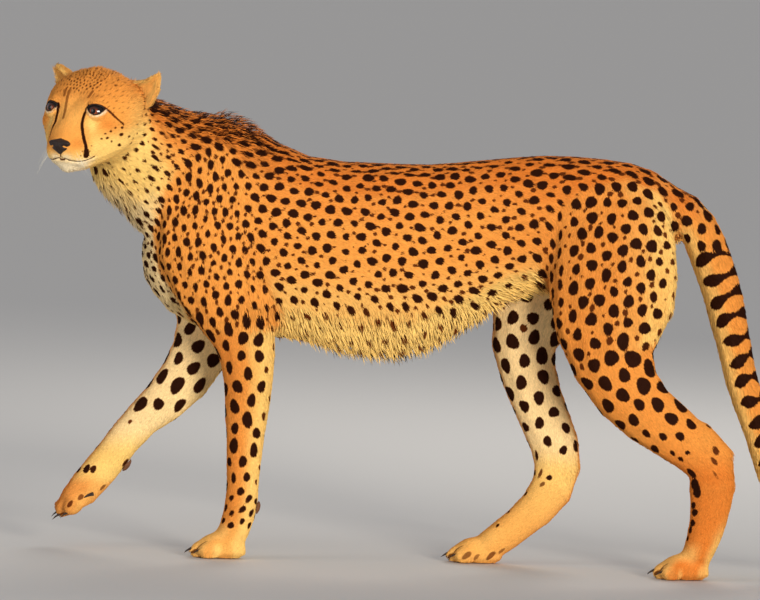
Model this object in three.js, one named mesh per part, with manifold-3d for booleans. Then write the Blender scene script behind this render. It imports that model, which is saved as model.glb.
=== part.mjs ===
// Adult cheetah in a slow walk, its head turned towards its left side.
// Millimetres, +Z up, +X towards the tail, -Y on the animal's left. The solids are
// the body out to the tips of its coat. Each region is a loft through named stations,
// and regions that are one flesh are parted by thin cuts.

import * as THREE from 'three';
import { mergeVertices } from 'three/addons/utils/BufferGeometryUtils.js';
import Module from 'manifold-3d';

const wasm = await Module();
wasm.setup();

// ---- driving sizes -------------------------------------------------------------

const GAP = 0.4; // clear space between two solids that meet
const CAP_BULGE = 0.35; // how far a limb's end bulges, as a share of its half width
const HALF_SPACE = 3000; // side of the box that stands for half of all space
const LEFT = -1; // sign of Y on the animal's left
const RIGHT = 1;
const UPWARD = new THREE.Vector3(0, 0, 1);

const HEAD_YAW = 62; // degrees the face turns to the left of straight ahead
const HEAD_PITCH = 11; // degrees the nose drops below level
const NOSE_TIP = [-536, -190, 703]; // centre of the nose pad

const EYE_RADIUS = 18;
const EYE_CENTRE = [58, 41, 47]; // from the nose pad: back, out, up
const EAR_BASE = [146, 69, 61]; // from the nose pad: back, out, up
const EAR_LENGTH = 51; // root to tip
const EAR_HALF_WIDTH = 32;
const EAR_POINTED = 0.35; // share of its width that it loses by the tip
const EAR_HALF_DEPTH = 20;
const EAR_WALL = 5;
const EAR_FACES_OUT = 32; // degrees
const EAR_LEANS_OUT = 41;
const EAR_LEANS_BACK = 22;
const NOSE_HALF_WIDTH = 20;
const NOSE_CLEAR = 1; // growth of the hollow that the nose pad sits in

const KNUCKLE = [-18, 0, 22]; // where the toes curl, from the middle of the sole
const TOE_LENGTH = 23; // half sizes of one toe
const TOE_WIDTH = 12.5;
const TOE_HEIGHT = 17;
const CLAW_LENGTH = 12;
const CLAW_RADIUS = 3.6;
const DEW_CLAW_RADIUS = 5;
const WRIST_PAD = [14, 9, 8]; // half sizes

const REGION_TOP = 0.94; // share of a leg's reach that its upper part keeps, at its top
const REGION_FOOT = 1.2; // and at its lowest, where it takes the whole leg
const REGION_RISE = 18; // height of its top above its highest station
const REGION_CLEAR = 12; // its lowest station is at least this far above the cut
const REGION_REACH = 250;

// ---- materials -----------------------------------------------------------------

function finish(color, roughness) {
  return new THREE.MeshStandardMaterial({ color, roughness, metalness: 0 });
}

const COAT = 0xe0a35c;
const PAD_LEATHER = 0x2a1d16;
const NOSE_BLACK = 0x1d1512;
const EYE_AMBER = 0x6b3414;
const CLAW_HORN = 0x3a2c22;

// ---- solids --------------------------------------------------------------------

/** The three.js geometry as a manifold solid, with its seams and poles welded. */
function solidOf(geometry) {
  const bare = geometry.clone();
  bare.deleteAttribute('normal');
  bare.deleteAttribute('uv');
  const welded = mergeVertices(bare, 1e-3);
  return new wasm.Manifold(
    new wasm.Mesh({
      numProp: 3,
      vertProperties: new Float32Array(welded.attributes.position.array),
      triVerts: new Uint32Array(welded.index.array),
    }),
  );
}

/** A manifold solid as a three.js geometry with flat shading. */
function geometryOf(solid) {
  const mesh = solid.getMesh();
  const geometry = new THREE.BufferGeometry();
  const places = new Float32Array(mesh.vertProperties);
  geometry.setAttribute('position', new THREE.BufferAttribute(places, 3));
  geometry.setIndex(new THREE.BufferAttribute(new Uint32Array(mesh.triVerts), 1));
  geometry.computeVertexNormals();
  return geometry;
}

/** An ellipsoid at a centre, with half sizes along X, Y and Z, turned about Y then Z. */
function ellipsoid(centre, half, { pitch = 0, yaw = 0, detail }) {
  const geometry = new THREE.SphereGeometry(1, detail, Math.round(detail * 0.6));
  geometry.rotateX(Math.PI / 2);
  geometry.scale(...half);
  geometry.rotateY(THREE.MathUtils.degToRad(pitch));
  geometry.rotateZ(THREE.MathUtils.degToRad(yaw));
  geometry.translate(...centre);
  return solidOf(geometry);
}

/** All the space on the side of a plane that its normal points to, from offset on. */
function beyond(point, normal, offset = 0) {
  const outward = new THREE.Vector3(...normal).normalize();
  const geometry = new THREE.BoxGeometry(HALF_SPACE, HALF_SPACE, HALF_SPACE);
  geometry.translate(0, 0, HALF_SPACE / 2 + offset);
  geometry.applyQuaternion(new THREE.Quaternion().setFromUnitVectors(UPWARD, outward));
  geometry.translate(...point);
  return solidOf(geometry);
}

/** One solid parted by a thin cut: the share behind the plane, then the share beyond it. */
function part(solid, point, normal) {
  const back = normal.map((value) => -value);
  return [
    solid.subtract(beyond(point, normal, -GAP / 2)),
    solid.subtract(beyond(point, back, -GAP / 2)),
  ];
}

/** Stations given as rows of numbers, with a name for each column. */
function rows(columns, table) {
  return table.map((row) => Object.fromEntries(columns.map((name, i) => [name, row[i]])));
}

/** A smooth curve through one column of a list of stations, read at 0 to 1. */
function along(stations, column) {
  const points = stations.map((station) => new THREE.Vector3(station[column] ?? 0, 0, 0));
  const curve = new THREE.CatmullRomCurve3(points, false, 'catmullrom', 0.5);
  return (t) => curve.getPoint(t).x;
}

/** A closed skin over rings of points that all have the same length, with a pole at each end. */
function skinOver(rings, firstPole, lastPole) {
  const size = rings[0].length;
  const points = [firstPole, ...rings.flat(), lastPole];
  const last = points.length - 1;
  const faces = [];
  const at = (ring, i) => 1 + ring * size + (i % size);
  for (let i = 0; i < size; i += 1) {
    faces.push(0, at(0, i + 1), at(0, i));
    faces.push(last, at(rings.length - 1, i), at(rings.length - 1, i + 1));
    for (let ring = 0; ring + 1 < rings.length; ring += 1) {
      faces.push(at(ring, i), at(ring, i + 1), at(ring + 1, i + 1));
      faces.push(at(ring, i), at(ring + 1, i + 1), at(ring + 1, i));
    }
  }
  const geometry = new THREE.BufferGeometry();
  const places = points.flatMap((point) => point.toArray());
  geometry.setAttribute('position', new THREE.Float32BufferAttribute(places, 3));
  geometry.setIndex(faces);
  return solidOf(geometry);
}

/**
 * A limb: rings square to a curve through the stations, each an oval with its own reach
 * to the fore, aft and side. forward is the direction that fore is measured along, and
 * grow is added to every reach.
 */
function limb(stations, { forward, segments, steps, grow = 0 }) {
  const centres = stations.map((s) => new THREE.Vector3(s.x, s.y, s.z));
  const spine = new THREE.CatmullRomCurve3(centres, false, 'catmullrom', 0.5);
  const [fore, aft, side] = ['fore', 'aft', 'side'].map((name) => along(stations, name));
  const rings = [];
  for (let i = 0; i <= steps; i += 1) {
    const t = i / steps;
    const centre = spine.getPoint(t);
    const tangent = spine.getTangent(t);
    const ahead = forward.clone().addScaledVector(tangent, -forward.dot(tangent)).normalize();
    const across = new THREE.Vector3().crossVectors(tangent, ahead);
    const ring = [];
    for (let j = 0; j < segments; j += 1) {
      const angle = (2 * Math.PI * j) / segments;
      const reach = (Math.cos(angle) > 0 ? fore(t) : aft(t)) + grow;
      ring.push(
        centre
          .clone()
          .addScaledVector(ahead, Math.cos(angle) * reach)
          .addScaledVector(across, Math.sin(angle) * (side(t) + grow)),
      );
    }
    rings.push(ring);
  }
  const cap = (t, sign) =>
    spine.getPoint(t).addScaledVector(spine.getTangent(t), sign * (side(t) * CAP_BULGE + grow));
  return skinOver(rings, cap(0, -1), cap(1, 1));
}

/**
 * A body section by section along X: each station gives the top and foot of the section,
 * the height and reach of its widest place, and how square its upper and lower halves are.
 */
function hull(stations, { segments, steps }) {
  const columns = Object.keys(stations[0]);
  const read = Object.fromEntries(columns.map((name) => [name, along(stations, name)]));
  const bend = (value, power) => Math.sign(value) * Math.abs(value) ** (2 / power);
  const rings = [];
  for (let i = 0; i <= steps; i += 1) {
    const t = i / steps;
    const ring = [];
    for (let j = 0; j < segments; j += 1) {
      const angle = (2 * Math.PI * j) / segments;
      const upper = Math.sin(angle) > 0;
      const power = upper ? read.upper(t) : read.lower(t);
      const height = upper ? read.top(t) - read.mid(t) : read.mid(t) - read.foot(t);
      ring.push(
        new THREE.Vector3(
          read.x(t),
          bend(Math.cos(angle), power) * read.side(t),
          read.mid(t) + bend(Math.sin(angle), power) * height,
        ),
      );
    }
    rings.push(ring);
  }
  const cap = (t, sign) => new THREE.Vector3(read.x(t) + sign * read.cap(t), 0, read.mid(t));
  return skinOver(rings, cap(0, -1), cap(1, 1));
}

// ---- trunk, neck and tail --------------------------------------------------------

const BODY_COLUMNS = ['x', 'top', 'foot', 'mid', 'side', 'upper', 'lower', 'cap'];

// breast, shoulders, deep chest, the belly with its fringe, tucked loin, hips, rump
const TRUNK = rows(BODY_COLUMNS, [
  [-404, 560, 470, 515, 34, 2.0, 2.0, 8],
  [-385, 622, 440, 530, 62, 2.0, 2.0, 8],
  [-350, 690, 406, 540, 84, 2.0, 2.0, 8],
  [-300, 756, 386, 550, 92, 2.0, 2.0, 8],
  [-250, 746, 380, 550, 95, 2.1, 2.0, 8],
  [-195, 716, 376, 545, 96, 2.2, 2.0, 8],
  [-130, 690, 370, 538, 97, 2.2, 2.0, 8],
  [-60, 683, 352, 530, 97, 2.2, 1.9, 8],
  [0, 684, 347, 528, 94, 2.2, 1.8, 8],
  [55, 683, 354, 535, 89, 2.2, 1.8, 8],
  [110, 688, 380, 548, 83, 2.2, 1.9, 8],
  [165, 695, 414, 562, 78, 2.2, 2.0, 8],
  [220, 702, 452, 578, 76, 2.2, 2.0, 8],
  [280, 708, 470, 590, 80, 2.1, 2.0, 8],
  [340, 707, 470, 595, 86, 2.0, 2.0, 8],
  [400, 703, 470, 590, 86, 2.0, 2.0, 8],
  [450, 692, 480, 585, 72, 2.0, 2.0, 8],
  [492, 668, 510, 585, 46, 2.0, 2.0, 8],
]);

const AHEAD = new THREE.Vector3(-1, 0, 0);
const THROAT = new THREE.Vector3(-0.5, 0, -0.8);
const ACROSS = new THREE.Vector3(0, 1, 0);
const LIMB_COLUMNS = ['x', 'y', 'z', 'fore', 'aft', 'side'];

// from inside the shoulders to the back of the head; fore is the throat side
const NECK = rows(LIMB_COLUMNS, [
  [-225, 0, 575, 120, 126, 70],
  [-285, -2, 622, 138, 130, 80],
  [-340, -8, 655, 134, 114, 80],
  [-384, -18, 682, 116, 92, 78],
  [-420, -36, 706, 108, 82, 74],
  [-448, -54, 726, 92, 70, 68],
  [-466, -70, 738, 62, 54, 56],
]);

// root to tip; the tail hangs, then swings back and up
const TAIL = rows(LIMB_COLUMNS, [
  [455, 0, 640, 34, 34, 32],
  [500, 0, 624, 38, 36, 38],
  [538, 0, 590, 37, 35, 37],
  [560, 0, 544, 35, 34, 37],
  [579, 0, 494, 34, 33, 36],
  [594, 0, 440, 33, 33, 34],
  [608, -1, 386, 32, 32, 31],
  [621, -2, 336, 31, 31, 30],
  [641, -4, 284, 30, 30, 29],
  [660, -6, 234, 29, 29, 28],
  [675, -8, 190, 28, 28, 28],
  [694, -10, 148, 27, 27, 27],
  [722, -11, 115, 27, 27, 27],
  [758, -11, 98, 27, 27, 27],
  [796, -10, 100, 25, 25, 25],
  [826, -9, 116, 17, 17, 17],
]);

// ---- legs ------------------------------------------------------------------------

// shoulder blade, upper arm, elbow, forearm, wrist, pastern
const FORELEG_LEFT = rows(LIMB_COLUMNS, [
  [-286, -30, 690, 34, 36, 20],
  [-292, -50, 640, 66, 70, 36],
  [-300, -62, 560, 84, 88, 42],
  [-285, -68, 490, 80, 84, 43],
  [-250, -70, 430, 66, 72, 42],
  [-226, -67, 384, 56, 60, 38],
  [-217, -61, 340, 48, 48, 34],
  [-215, -56, 295, 43, 43, 31],
  [-217, -52, 250, 38, 39, 28],
  [-218, -49, 205, 33, 34, 26],
  [-219, -47, 165, 31, 31, 25],
  [-218, -46, 128, 30, 28, 25],
  [-219, -45, 92, 31, 27, 26],
  [-228, -44, 56, 29, 28, 28],
  [-244, -43, 26, 26, 26, 28],
]);

const FORELEG_RIGHT = rows(LIMB_COLUMNS, [
  [-292, 30, 690, 34, 36, 20],
  [-304, 50, 640, 64, 68, 36],
  [-322, 62, 560, 76, 86, 42],
  [-320, 68, 490, 72, 84, 43],
  [-306, 70, 430, 58, 70, 42],
  [-306, 69, 378, 48, 62, 38],
  [-326, 67, 320, 43, 55, 35],
  [-366, 67, 264, 37, 45, 32],
  [-408, 68, 220, 32, 33, 28],
  [-444, 69, 176, 30, 31, 27],
  [-472, 70, 136, 30, 32, 27],
  [-498, 70, 104, 30, 31, 28],
  [-508, 70, 88, 26, 27, 28],
]);

// hip, thigh, knee, shank, hock, long foot
const HINDLEG_LEFT = rows(LIMB_COLUMNS, [
  [410, -30, 658, 70, 60, 22],
  [404, -50, 615, 108, 94, 40],
  [400, -64, 550, 118, 112, 50],
  [396, -72, 480, 108, 119, 52],
  [394, -78, 415, 88, 102, 48],
  [408, -82, 352, 66, 75, 43],
  [446, -84, 300, 57, 60, 39],
  [494, -85, 264, 52, 50, 35],
  [540, -85, 232, 46, 50, 31],
  [579, -84, 196, 43, 47, 28],
  [583, -83, 152, 40, 39, 26],
  [580, -82, 112, 34, 34, 25],
  [573, -81, 74, 31, 30, 26],
  [561, -80, 38, 28, 26, 27],
]);

const HINDLEG_RIGHT = rows(LIMB_COLUMNS, [
  [396, 30, 658, 70, 60, 22],
  [374, 50, 615, 106, 98, 40],
  [338, 64, 550, 110, 116, 50],
  [292, 72, 484, 94, 108, 52],
  [250, 77, 424, 68, 82, 47],
  [240, 80, 366, 54, 58, 42],
  [256, 80, 312, 48, 49, 38],
  [276, 79, 262, 45, 45, 34],
  [297, 78, 214, 43, 44, 31],
  [306, 77, 168, 41, 41, 29],
  [288, 76, 122, 32, 42, 27],
  [254, 75, 84, 27, 35, 26],
  [222, 75, 55, 26, 34, 27],
  [192, 75, 32, 25, 30, 28],
]);


// the middle of each sole, and in degrees how the foot turns, tips, rolls and curls its toes
const FEET = {
  fore_left: { at: [-254, -43, 0], yaw: 3, tip: 0, roll: 0, curl: 0 },
  fore_right: { at: [-497, 70, 76], yaw: 0, tip: 42, roll: 15, curl: -10 },
  hind_left: { at: [539, -80, 0], yaw: 2, tip: 0, roll: 0, curl: 0 },
  hind_right: { at: [174, 75, 0], yaw: 0, tip: 0, roll: 0, curl: 0 },
};

// toes from the outside in: how far ahead of the middle of the sole, and how far across
const TOES = [
  { ahead: 17, across: -26 },
  { ahead: 32, across: -10 },
  { ahead: 32, across: 10 },
  { ahead: 17, across: 26 },
];

/** Puts a solid made about the middle of a sole, toes towards -X, where a foot stands. */
function onFoot(solid, foot) {
  return solid
    .rotate([foot.roll, 0, 0])
    .rotate([0, -foot.tip, 0])
    .rotate([0, 0, foot.yaw])
    .translate(foot.at);
}

/** Curls a toe or its claw down about the knuckles of a foot. */
function curled(solid, foot) {
  return solid
    .translate(KNUCKLE.map((value) => -value))
    .rotate([0, -foot.curl, 0])
    .translate(KNUCKLE);
}

/** The paw where it stands: the sole's pads and four toes. */
function paw(foot, grow = 0) {
  const pad = ellipsoid([7, 0, 17], [41 + grow, 30 + grow, 24 + grow], { detail: 9 });
  const knuckles = ellipsoid([-9, 0, 26], [33 + grow, 28 + grow, 19 + grow], {
    pitch: -16,
    detail: 8,
  });
  const half = [TOE_LENGTH + grow, TOE_WIDTH + grow, TOE_HEIGHT + grow];
  const toes = TOES.map((toe) =>
    curled(ellipsoid([-toe.ahead, toe.across, 15], half, { pitch: -8, detail: 6 }), foot),
  );
  return onFoot(
    toes.reduce((solid, toe) => solid.add(toe), pad.add(knuckles)),
    foot,
  );
}

/** A short horn from its root to its tip, hooked through a middle point. */
function horn(root, bend, tip, radius) {
  const stations = rows(LIMB_COLUMNS, [
    [...root, radius, radius, radius * 0.7],
    [...bend, radius * 0.8, radius * 0.8, radius * 0.55],
    [...tip, radius * 0.3, radius * 0.3, radius * 0.22],
  ]);
  return limb(stations, { forward: UPWARD, segments: 4, steps: 2 });
}

/** The claw of one toe: it leaves the end of the toe and hooks down. */
function claw(toe, foot) {
  const root = toe.ahead + TOE_LENGTH - 7;
  const y = toe.across;
  const bend = [-(root + CLAW_LENGTH * 0.55), y, 15];
  const solid = horn([-root, y, 17], bend, [-(root + CLAW_LENGTH), y, 8], CLAW_RADIUS);
  return onFoot(curled(solid, foot), foot);
}

// on each foreleg: the dew claw inside the paw, and the leather pad behind the wrist
const WRISTS = {
  left: {
    leg: 'fore_left',
    dewClaw: [[-238, -17, 60], [-250, -14, 54], [-259, -13, 44]],
    pad: { at: [-196, -46, 88], pitch: -70 },
  },
  right: {
    leg: 'fore_right',
    dewClaw: [[-484, 44, 94], [-496, 41, 88], [-506, 40, 78]],
    pad: { at: [-431, 67, 144], pitch: -60 },
  },
};

const FLOOR_DOWN = [0, 0, -1];
const STANDING = ['fore_left', 'hind_left', 'hind_right'];

/** A whole leg with its paw, flat under the sole if it stands. */
function wholeLeg(name, stations, grow = 0) {
  const foot = FEET[name];
  const leg = limb(stations, { forward: AHEAD, segments: 11, steps: stations.length + 2, grow });
  const joined = leg.add(paw(foot, grow));
  return STANDING.includes(name) ? joined.subtract(beyond([0, 0, 0], FLOOR_DOWN)) : joined;
}

// ---- head ------------------------------------------------------------------------

// Sections square to the head's own length, from the nose back. Each gives the height of
// the crown line, then the reach and height of the brow, cheek and jaw, and the chin line.
const HEAD_COLUMNS = ['x', 'top', 'brow', 'browZ', 'cheek', 'cheekZ', 'jaw', 'jawZ', 'foot'];
const HEAD = rows(HEAD_COLUMNS, [
  [1, 9, 13, 4, 20, -8, 17, -22, -28],
  [7, 17, 19, 9, 31, -11, 27, -30, -42],
  [17, 28, 24, 20, 39, -10, 32, -36, -50],
  [29, 41, 30, 33, 46, -5, 37, -38, -53],
  [42, 54, 40, 47, 57, 6, 45, -36, -54],
  [56, 69, 51, 60, 69, 17, 55, -32, -54],
  [72, 84, 60, 71, 77, 24, 63, -28, -54],
  [92, 98, 67, 79, 83, 28, 68, -24, -53],
  [114, 105, 70, 81, 85, 31, 70, -20, -50],
  [136, 103, 69, 77, 83, 32, 69, -16, -46],
  [156, 93, 62, 66, 75, 29, 61, -13, -38],
  [173, 74, 45, 50, 56, 24, 42, -6, -22],
]);

const HEAD_POLES = [[-6, -8], [184, 24]]; // the ends of its length, and their heights

/** The head's outer form in its own frame: nose pad at the origin, +X towards the nape. */
function headForm(grow = 0) {
  const steps = 16;
  const segments = 20;
  const read = Object.fromEntries(HEAD_COLUMNS.map((name) => [name, along(HEAD, name)]));
  const rings = [];
  for (let i = 0; i <= steps; i += 1) {
    const t = i / steps;
    const outline = [
      [0, read.top(t)],
      [-read.brow(t), read.browZ(t)],
      [-read.cheek(t), read.cheekZ(t)],
      [-read.jaw(t), read.jawZ(t)],
      [0, read.foot(t)],
      [read.jaw(t), read.jawZ(t)],
      [read.cheek(t), read.cheekZ(t)],
      [read.brow(t), read.browZ(t)],
    ].map(([y, z]) => new THREE.Vector3(read.x(t), y, z));
    const middle = (read.top(t) + read.foot(t)) / 2;
    const section = new THREE.CatmullRomCurve3(outline, true, 'catmullrom', 0.5);
    const ring = [];
    for (let j = 0; j < segments; j += 1) {
      const point = section.getPoint(j / segments);
      const outward = new THREE.Vector3(0, point.y, point.z - middle).normalize();
      ring.push(point.addScaledVector(outward, grow));
    }
    rings.push(ring);
  }
  const [lip, nape] = HEAD_POLES;
  return skinOver(
    rings,
    new THREE.Vector3(lip[0] - grow, 0, lip[1]),
    new THREE.Vector3(nape[0] + grow, 0, nape[1]),
  );
}

/** One ear in the head's frame: a short round cup, open forwards and outwards. */
function ear(side) {
  const [back, out, up] = EAR_BASE;
  const shape = (inset, shift) =>
    ellipsoid(
      [-shift, 0, 0],
      [EAR_HALF_DEPTH, EAR_HALF_WIDTH, EAR_LENGTH].map((half) => half - inset),
      { detail: 10 },
    );
  const cup = shape(0, 0).subtract(shape(EAR_WALL, EAR_HALF_DEPTH * 0.75));
  return cup
    .warp((point) => {
      point[1] *= 1 - EAR_POINTED * (Math.max(point[2], 0) / EAR_LENGTH) ** 2;
    })
    .rotate([0, 0, side === LEFT ? EAR_FACES_OUT : -EAR_FACES_OUT])
    .rotate([side === LEFT ? EAR_LEANS_OUT : -EAR_LEANS_OUT, 0, 0])
    .rotate([0, EAR_LEANS_BACK, 0])
    .translate([back, side * out, up]);
}

/** The nose pad: broad and flat on top, drawn to a point at the lip. */
function nosePad(grow = 0) {
  const stations = rows(LIMB_COLUMNS, [
    [2, 0, 7, 5, 10, NOSE_HALF_WIDTH * 0.75],
    [0, 0, 3, 9, 12, NOSE_HALF_WIDTH],
    [0, 0, -3, 9, 12, NOSE_HALF_WIDTH * 0.9],
    [1, 0, -9, 7, 12, NOSE_HALF_WIDTH * 0.5],
    [2, 0, -14, 5, 10, NOSE_HALF_WIDTH * 0.2],
  ]);
  return limb(stations, { forward: AHEAD, segments: 10, steps: 5, grow });
}

// ---- assembly --------------------------------------------------------------------

/** Puts a solid of the head's frame into the body's frame. */
function onBody(solid) {
  return solid.rotate([0, -HEAD_PITCH, 0]).rotate([0, 0, HEAD_YAW]).translate(NOSE_TIP);
}

function eyeBall(side, radius) {
  const [back, out, up] = EYE_CENTRE;
  return onBody(ellipsoid([back, side * out, up], [radius, radius, radius], { detail: 12 }));
}

// where one flesh is parted: a point of the cut, and the way its normal points
const NECK_CUT = { at: [-352, -8, 655], normal: [-0.82, 0, 0.57] };
const TAIL_CUTS = [
  { at: [520, 0, 604], normal: [0.62, 0, -0.78] },
  { at: [601, 0, 415], normal: [0.2, 0, -0.98] },
  { at: [684, -9, 170], normal: [0.42, 0, -0.9] },
];
const LEGS = {
  fore_left: {
    stations: FORELEG_LEFT,
    inner: 24,
    cuts: [
      { at: [-232, -68, 395], normal: [0.2, 0, -0.98] },
      { at: [-218, -46, 112], normal: [0, 0, -1] },
    ],
  },
  fore_right: {
    stations: FORELEG_RIGHT,
    inner: 24,
    cuts: [
      { at: [-306, 70, 395], normal: [0, 0, -1] },
      { at: [-460, 69, 155], normal: [-0.56, 0, -0.83] },
    ],
  },
  hind_left: {
    stations: HINDLEG_LEFT,
    inner: 16,
    cuts: [
      { at: [402, -80, 372], normal: [0.4, 0, -0.92] },
      { at: [590, -83, 170], normal: [0.2, 0, -0.98] },
    ],
  },
  hind_right: {
    stations: HINDLEG_RIGHT,
    inner: 16,
    cuts: [
      { at: [242, 78, 396], normal: [0, 0, -1] },
      { at: [304, 77, 146], normal: [-0.55, 0, -0.83] },
    ],
  },
};
const LEG_PARTS = {
  fore: ['upper_arm', 'forearm', 'forepaw'],
  hind: ['thigh', 'shank', 'hind_foot'],
};

const body = new THREE.Group();

function piece(name, solid, color, roughness = 0.85) {
  const mesh = new THREE.Mesh(geometryOf(solid), finish(color, roughness));
  mesh.name = name;
  body.add(mesh);
}

/**
 * The side-view outline of a leg's upper part, pushed out sideways from near the middle of
 * the body. What it holds is the leg, and what is left is the trunk.
 */
function legRegion({ stations, cuts, inner }, side, grow = 0) {
  const { at, normal } = cuts[0];
  const above = (s) => (at[0] - s.x) * normal[0] + (at[2] - s.z) * normal[2];
  const upper = stations.filter((s) => above(s) > REGION_CLEAR);
  const spread = (i) => THREE.MathUtils.lerp(REGION_TOP, REGION_FOOT, i / (upper.length - 1));
  const slope = -normal[0] / normal[2];
  const onCut = (x) => [x, at[2] + (x - at[0]) * slope + GAP / 2 - grow / 2];
  const last = upper[upper.length - 1];
  const outline = [
    ...upper.map((s, i) => [s.x - s.fore * spread(i) - grow, s.z]),
    onCut(last.x - last.fore * REGION_FOOT - grow),
    onCut(last.x + last.aft * REGION_FOOT + grow),
    ...upper.map((s, i) => [s.x + s.aft * spread(i) + grow, s.z]).reverse(),
    [upper[0].x, upper[0].z + REGION_RISE + grow],
  ];
  const shape = new THREE.Shape(outline.map(([x, z]) => new THREE.Vector2(x, z)));
  const geometry = new THREE.ExtrudeGeometry(shape, { depth: REGION_REACH, bevelEnabled: false });
  geometry.rotateX(Math.PI / 2);
  geometry.translate(0, side === LEFT ? grow - inner : inner - grow + REGION_REACH, 0);
  return solidOf(geometry);
}

/** The lengths that a run of cuts leaves, in order from its root. */
function lengths(solid, cuts) {
  const done = [];
  let rest = solid;
  for (const cut of cuts) {
    const [near, far] = part(rest, cut.at, cut.normal);
    done.push(near);
    rest = far;
  }
  return [...done, rest];
}

const sideOf = (name) => (name.endsWith('left') ? LEFT : RIGHT);

/** Trunk, neck, tail and legs: first one flesh, then parted. */
function addBody() {
  const tailLoft = (grow) => limb(TAIL, { forward: ACROSS, segments: 10, steps: 24, grow });
  const [tailRoot, ...tail] = lengths(tailLoft(0), TAIL_CUTS);
  const tailSpace = part(tailLoft(GAP), TAIL_CUTS[0].at, TAIL_CUTS[0].normal)[1];
  let flesh = hull(TRUNK, { segments: 18, steps: 20 })
    .add(limb(NECK, { forward: THROAT, segments: 16, steps: 8 }))
    .add(tailRoot);
  const legs = Object.entries(LEGS).map(([name, leg]) => {
    const [upper, ...lower] = lengths(wholeLeg(name, leg.stations), leg.cuts);
    flesh = flesh.add(upper);
    return { name, leg, lower };
  });
  for (const { name, leg, lower } of legs) {
    const [end, side] = name.split('_');
    const upper = flesh.intersect(legRegion(leg, sideOf(name)));
    flesh = flesh.subtract(legRegion(leg, sideOf(name), GAP));
    const { at, normal } = leg.cuts[0];
    flesh = flesh.subtract(part(wholeLeg(name, leg.stations, GAP), at, normal)[1]);
    [upper, ...lower].forEach((solid, i) => piece(`${LEG_PARTS[end][i]}_${side}`, solid, COAT));
  }
  const [trunk, neck] = part(flesh.subtract(tailSpace), NECK_CUT.at, NECK_CUT.normal);
  piece('trunk', trunk, COAT);
  piece('neck', neck.subtract(onBody(headForm(GAP))), COAT);
  tail.forEach((solid, i) => piece(['tail_base', 'tail_middle', 'tail_tip'][i], solid, COAT));
}

function addClaws() {
  for (const [name, foot] of Object.entries(FEET)) {
    const fur = paw(foot, GAP);
    TOES.forEach((toe, i) => {
      piece(`claw_${name}_${i + 1}`, claw(toe, foot).subtract(fur), CLAW_HORN, 0.4);
    });
  }
}

function addWrists() {
  for (const [side, { leg, dewClaw, pad }] of Object.entries(WRISTS)) {
    const fur = wholeLeg(leg, LEGS[leg].stations, GAP);
    const leather = ellipsoid(pad.at, WRIST_PAD, { pitch: pad.pitch, detail: 8 });
    piece(`dew_claw_${side}`, horn(...dewClaw, DEW_CLAW_RADIUS).subtract(fur), CLAW_HORN, 0.4);
    piece(`wrist_pad_${side}`, leather.subtract(fur), PAD_LEATHER, 0.7);
  }
}

function addHead() {
  let head = onBody(headForm()).subtract(onBody(nosePad(NOSE_CLEAR)));
  for (const side of [LEFT, RIGHT]) {
    const word = side === LEFT ? 'left' : 'right';
    head = head.subtract(eyeBall(side, EYE_RADIUS + GAP));
    piece(`eye_${word}`, eyeBall(side, EYE_RADIUS), EYE_AMBER, 0.08);
    piece(`ear_${word}`, onBody(ear(side)).subtract(onBody(headForm(GAP))), COAT);
  }
  piece('head', head, COAT);
  piece('nose', onBody(nosePad()), NOSE_BLACK, 0.4);
}

addBody();
addHead();
addClaws();
addWrists();

// the origin is the middle of the bounding box at floor level
const bounds = new THREE.Box3().setFromObject(body);
const middle = bounds.getCenter(new THREE.Vector3());
body.position.set(-middle.x, -middle.y, -bounds.min.z);

export default body;
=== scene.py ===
"""A life-size standing cheetah: skin, eyes, nose, claws, whiskers and a coat of mesh tufts.

Laid out as an add-on: one operator for each piece or group of like pieces and one for
the stage. Every size and colour is a property with its own name and unit.
"""

import math

import bmesh
import bpy
import numpy as np
from bpy.props import FloatProperty, FloatVectorProperty, IntProperty, PointerProperty
from bpy.types import Operator, Panel, PropertyGroup
from mathutils import Matrix, Vector
from mathutils.bvhtree import BVHTree
from mathutils.kdtree import KDTree


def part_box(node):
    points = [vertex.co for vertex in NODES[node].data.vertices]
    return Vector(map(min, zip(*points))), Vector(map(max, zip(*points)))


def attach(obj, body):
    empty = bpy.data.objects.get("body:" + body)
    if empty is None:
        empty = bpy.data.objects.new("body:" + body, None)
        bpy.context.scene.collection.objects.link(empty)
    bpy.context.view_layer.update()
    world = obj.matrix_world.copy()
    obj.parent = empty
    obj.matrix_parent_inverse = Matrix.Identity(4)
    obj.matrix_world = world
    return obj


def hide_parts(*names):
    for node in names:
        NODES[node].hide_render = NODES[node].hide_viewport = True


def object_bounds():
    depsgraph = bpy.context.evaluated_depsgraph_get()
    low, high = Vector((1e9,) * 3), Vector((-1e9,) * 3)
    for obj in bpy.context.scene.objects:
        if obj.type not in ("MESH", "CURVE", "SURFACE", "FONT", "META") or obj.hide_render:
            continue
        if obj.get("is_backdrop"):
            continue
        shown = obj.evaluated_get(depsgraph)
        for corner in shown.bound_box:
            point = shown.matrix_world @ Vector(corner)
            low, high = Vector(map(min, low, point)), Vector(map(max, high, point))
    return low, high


bl_info = {
    "name": "Standing Cheetah",
    "version": (1, 0, 0),
    "blender": (4, 5, 0),
    "location": "3D View > Sidebar > Cheetah",
    "description": "Builds the visible pieces of a life-size standing cheetah",
    "category": "Object",
}

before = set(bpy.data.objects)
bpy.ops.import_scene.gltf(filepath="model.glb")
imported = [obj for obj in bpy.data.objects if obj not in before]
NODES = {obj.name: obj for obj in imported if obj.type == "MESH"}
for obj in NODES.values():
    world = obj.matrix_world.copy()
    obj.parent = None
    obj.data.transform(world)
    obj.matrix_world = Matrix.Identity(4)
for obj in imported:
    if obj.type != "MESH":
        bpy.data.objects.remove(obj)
START_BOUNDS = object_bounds()

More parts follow.
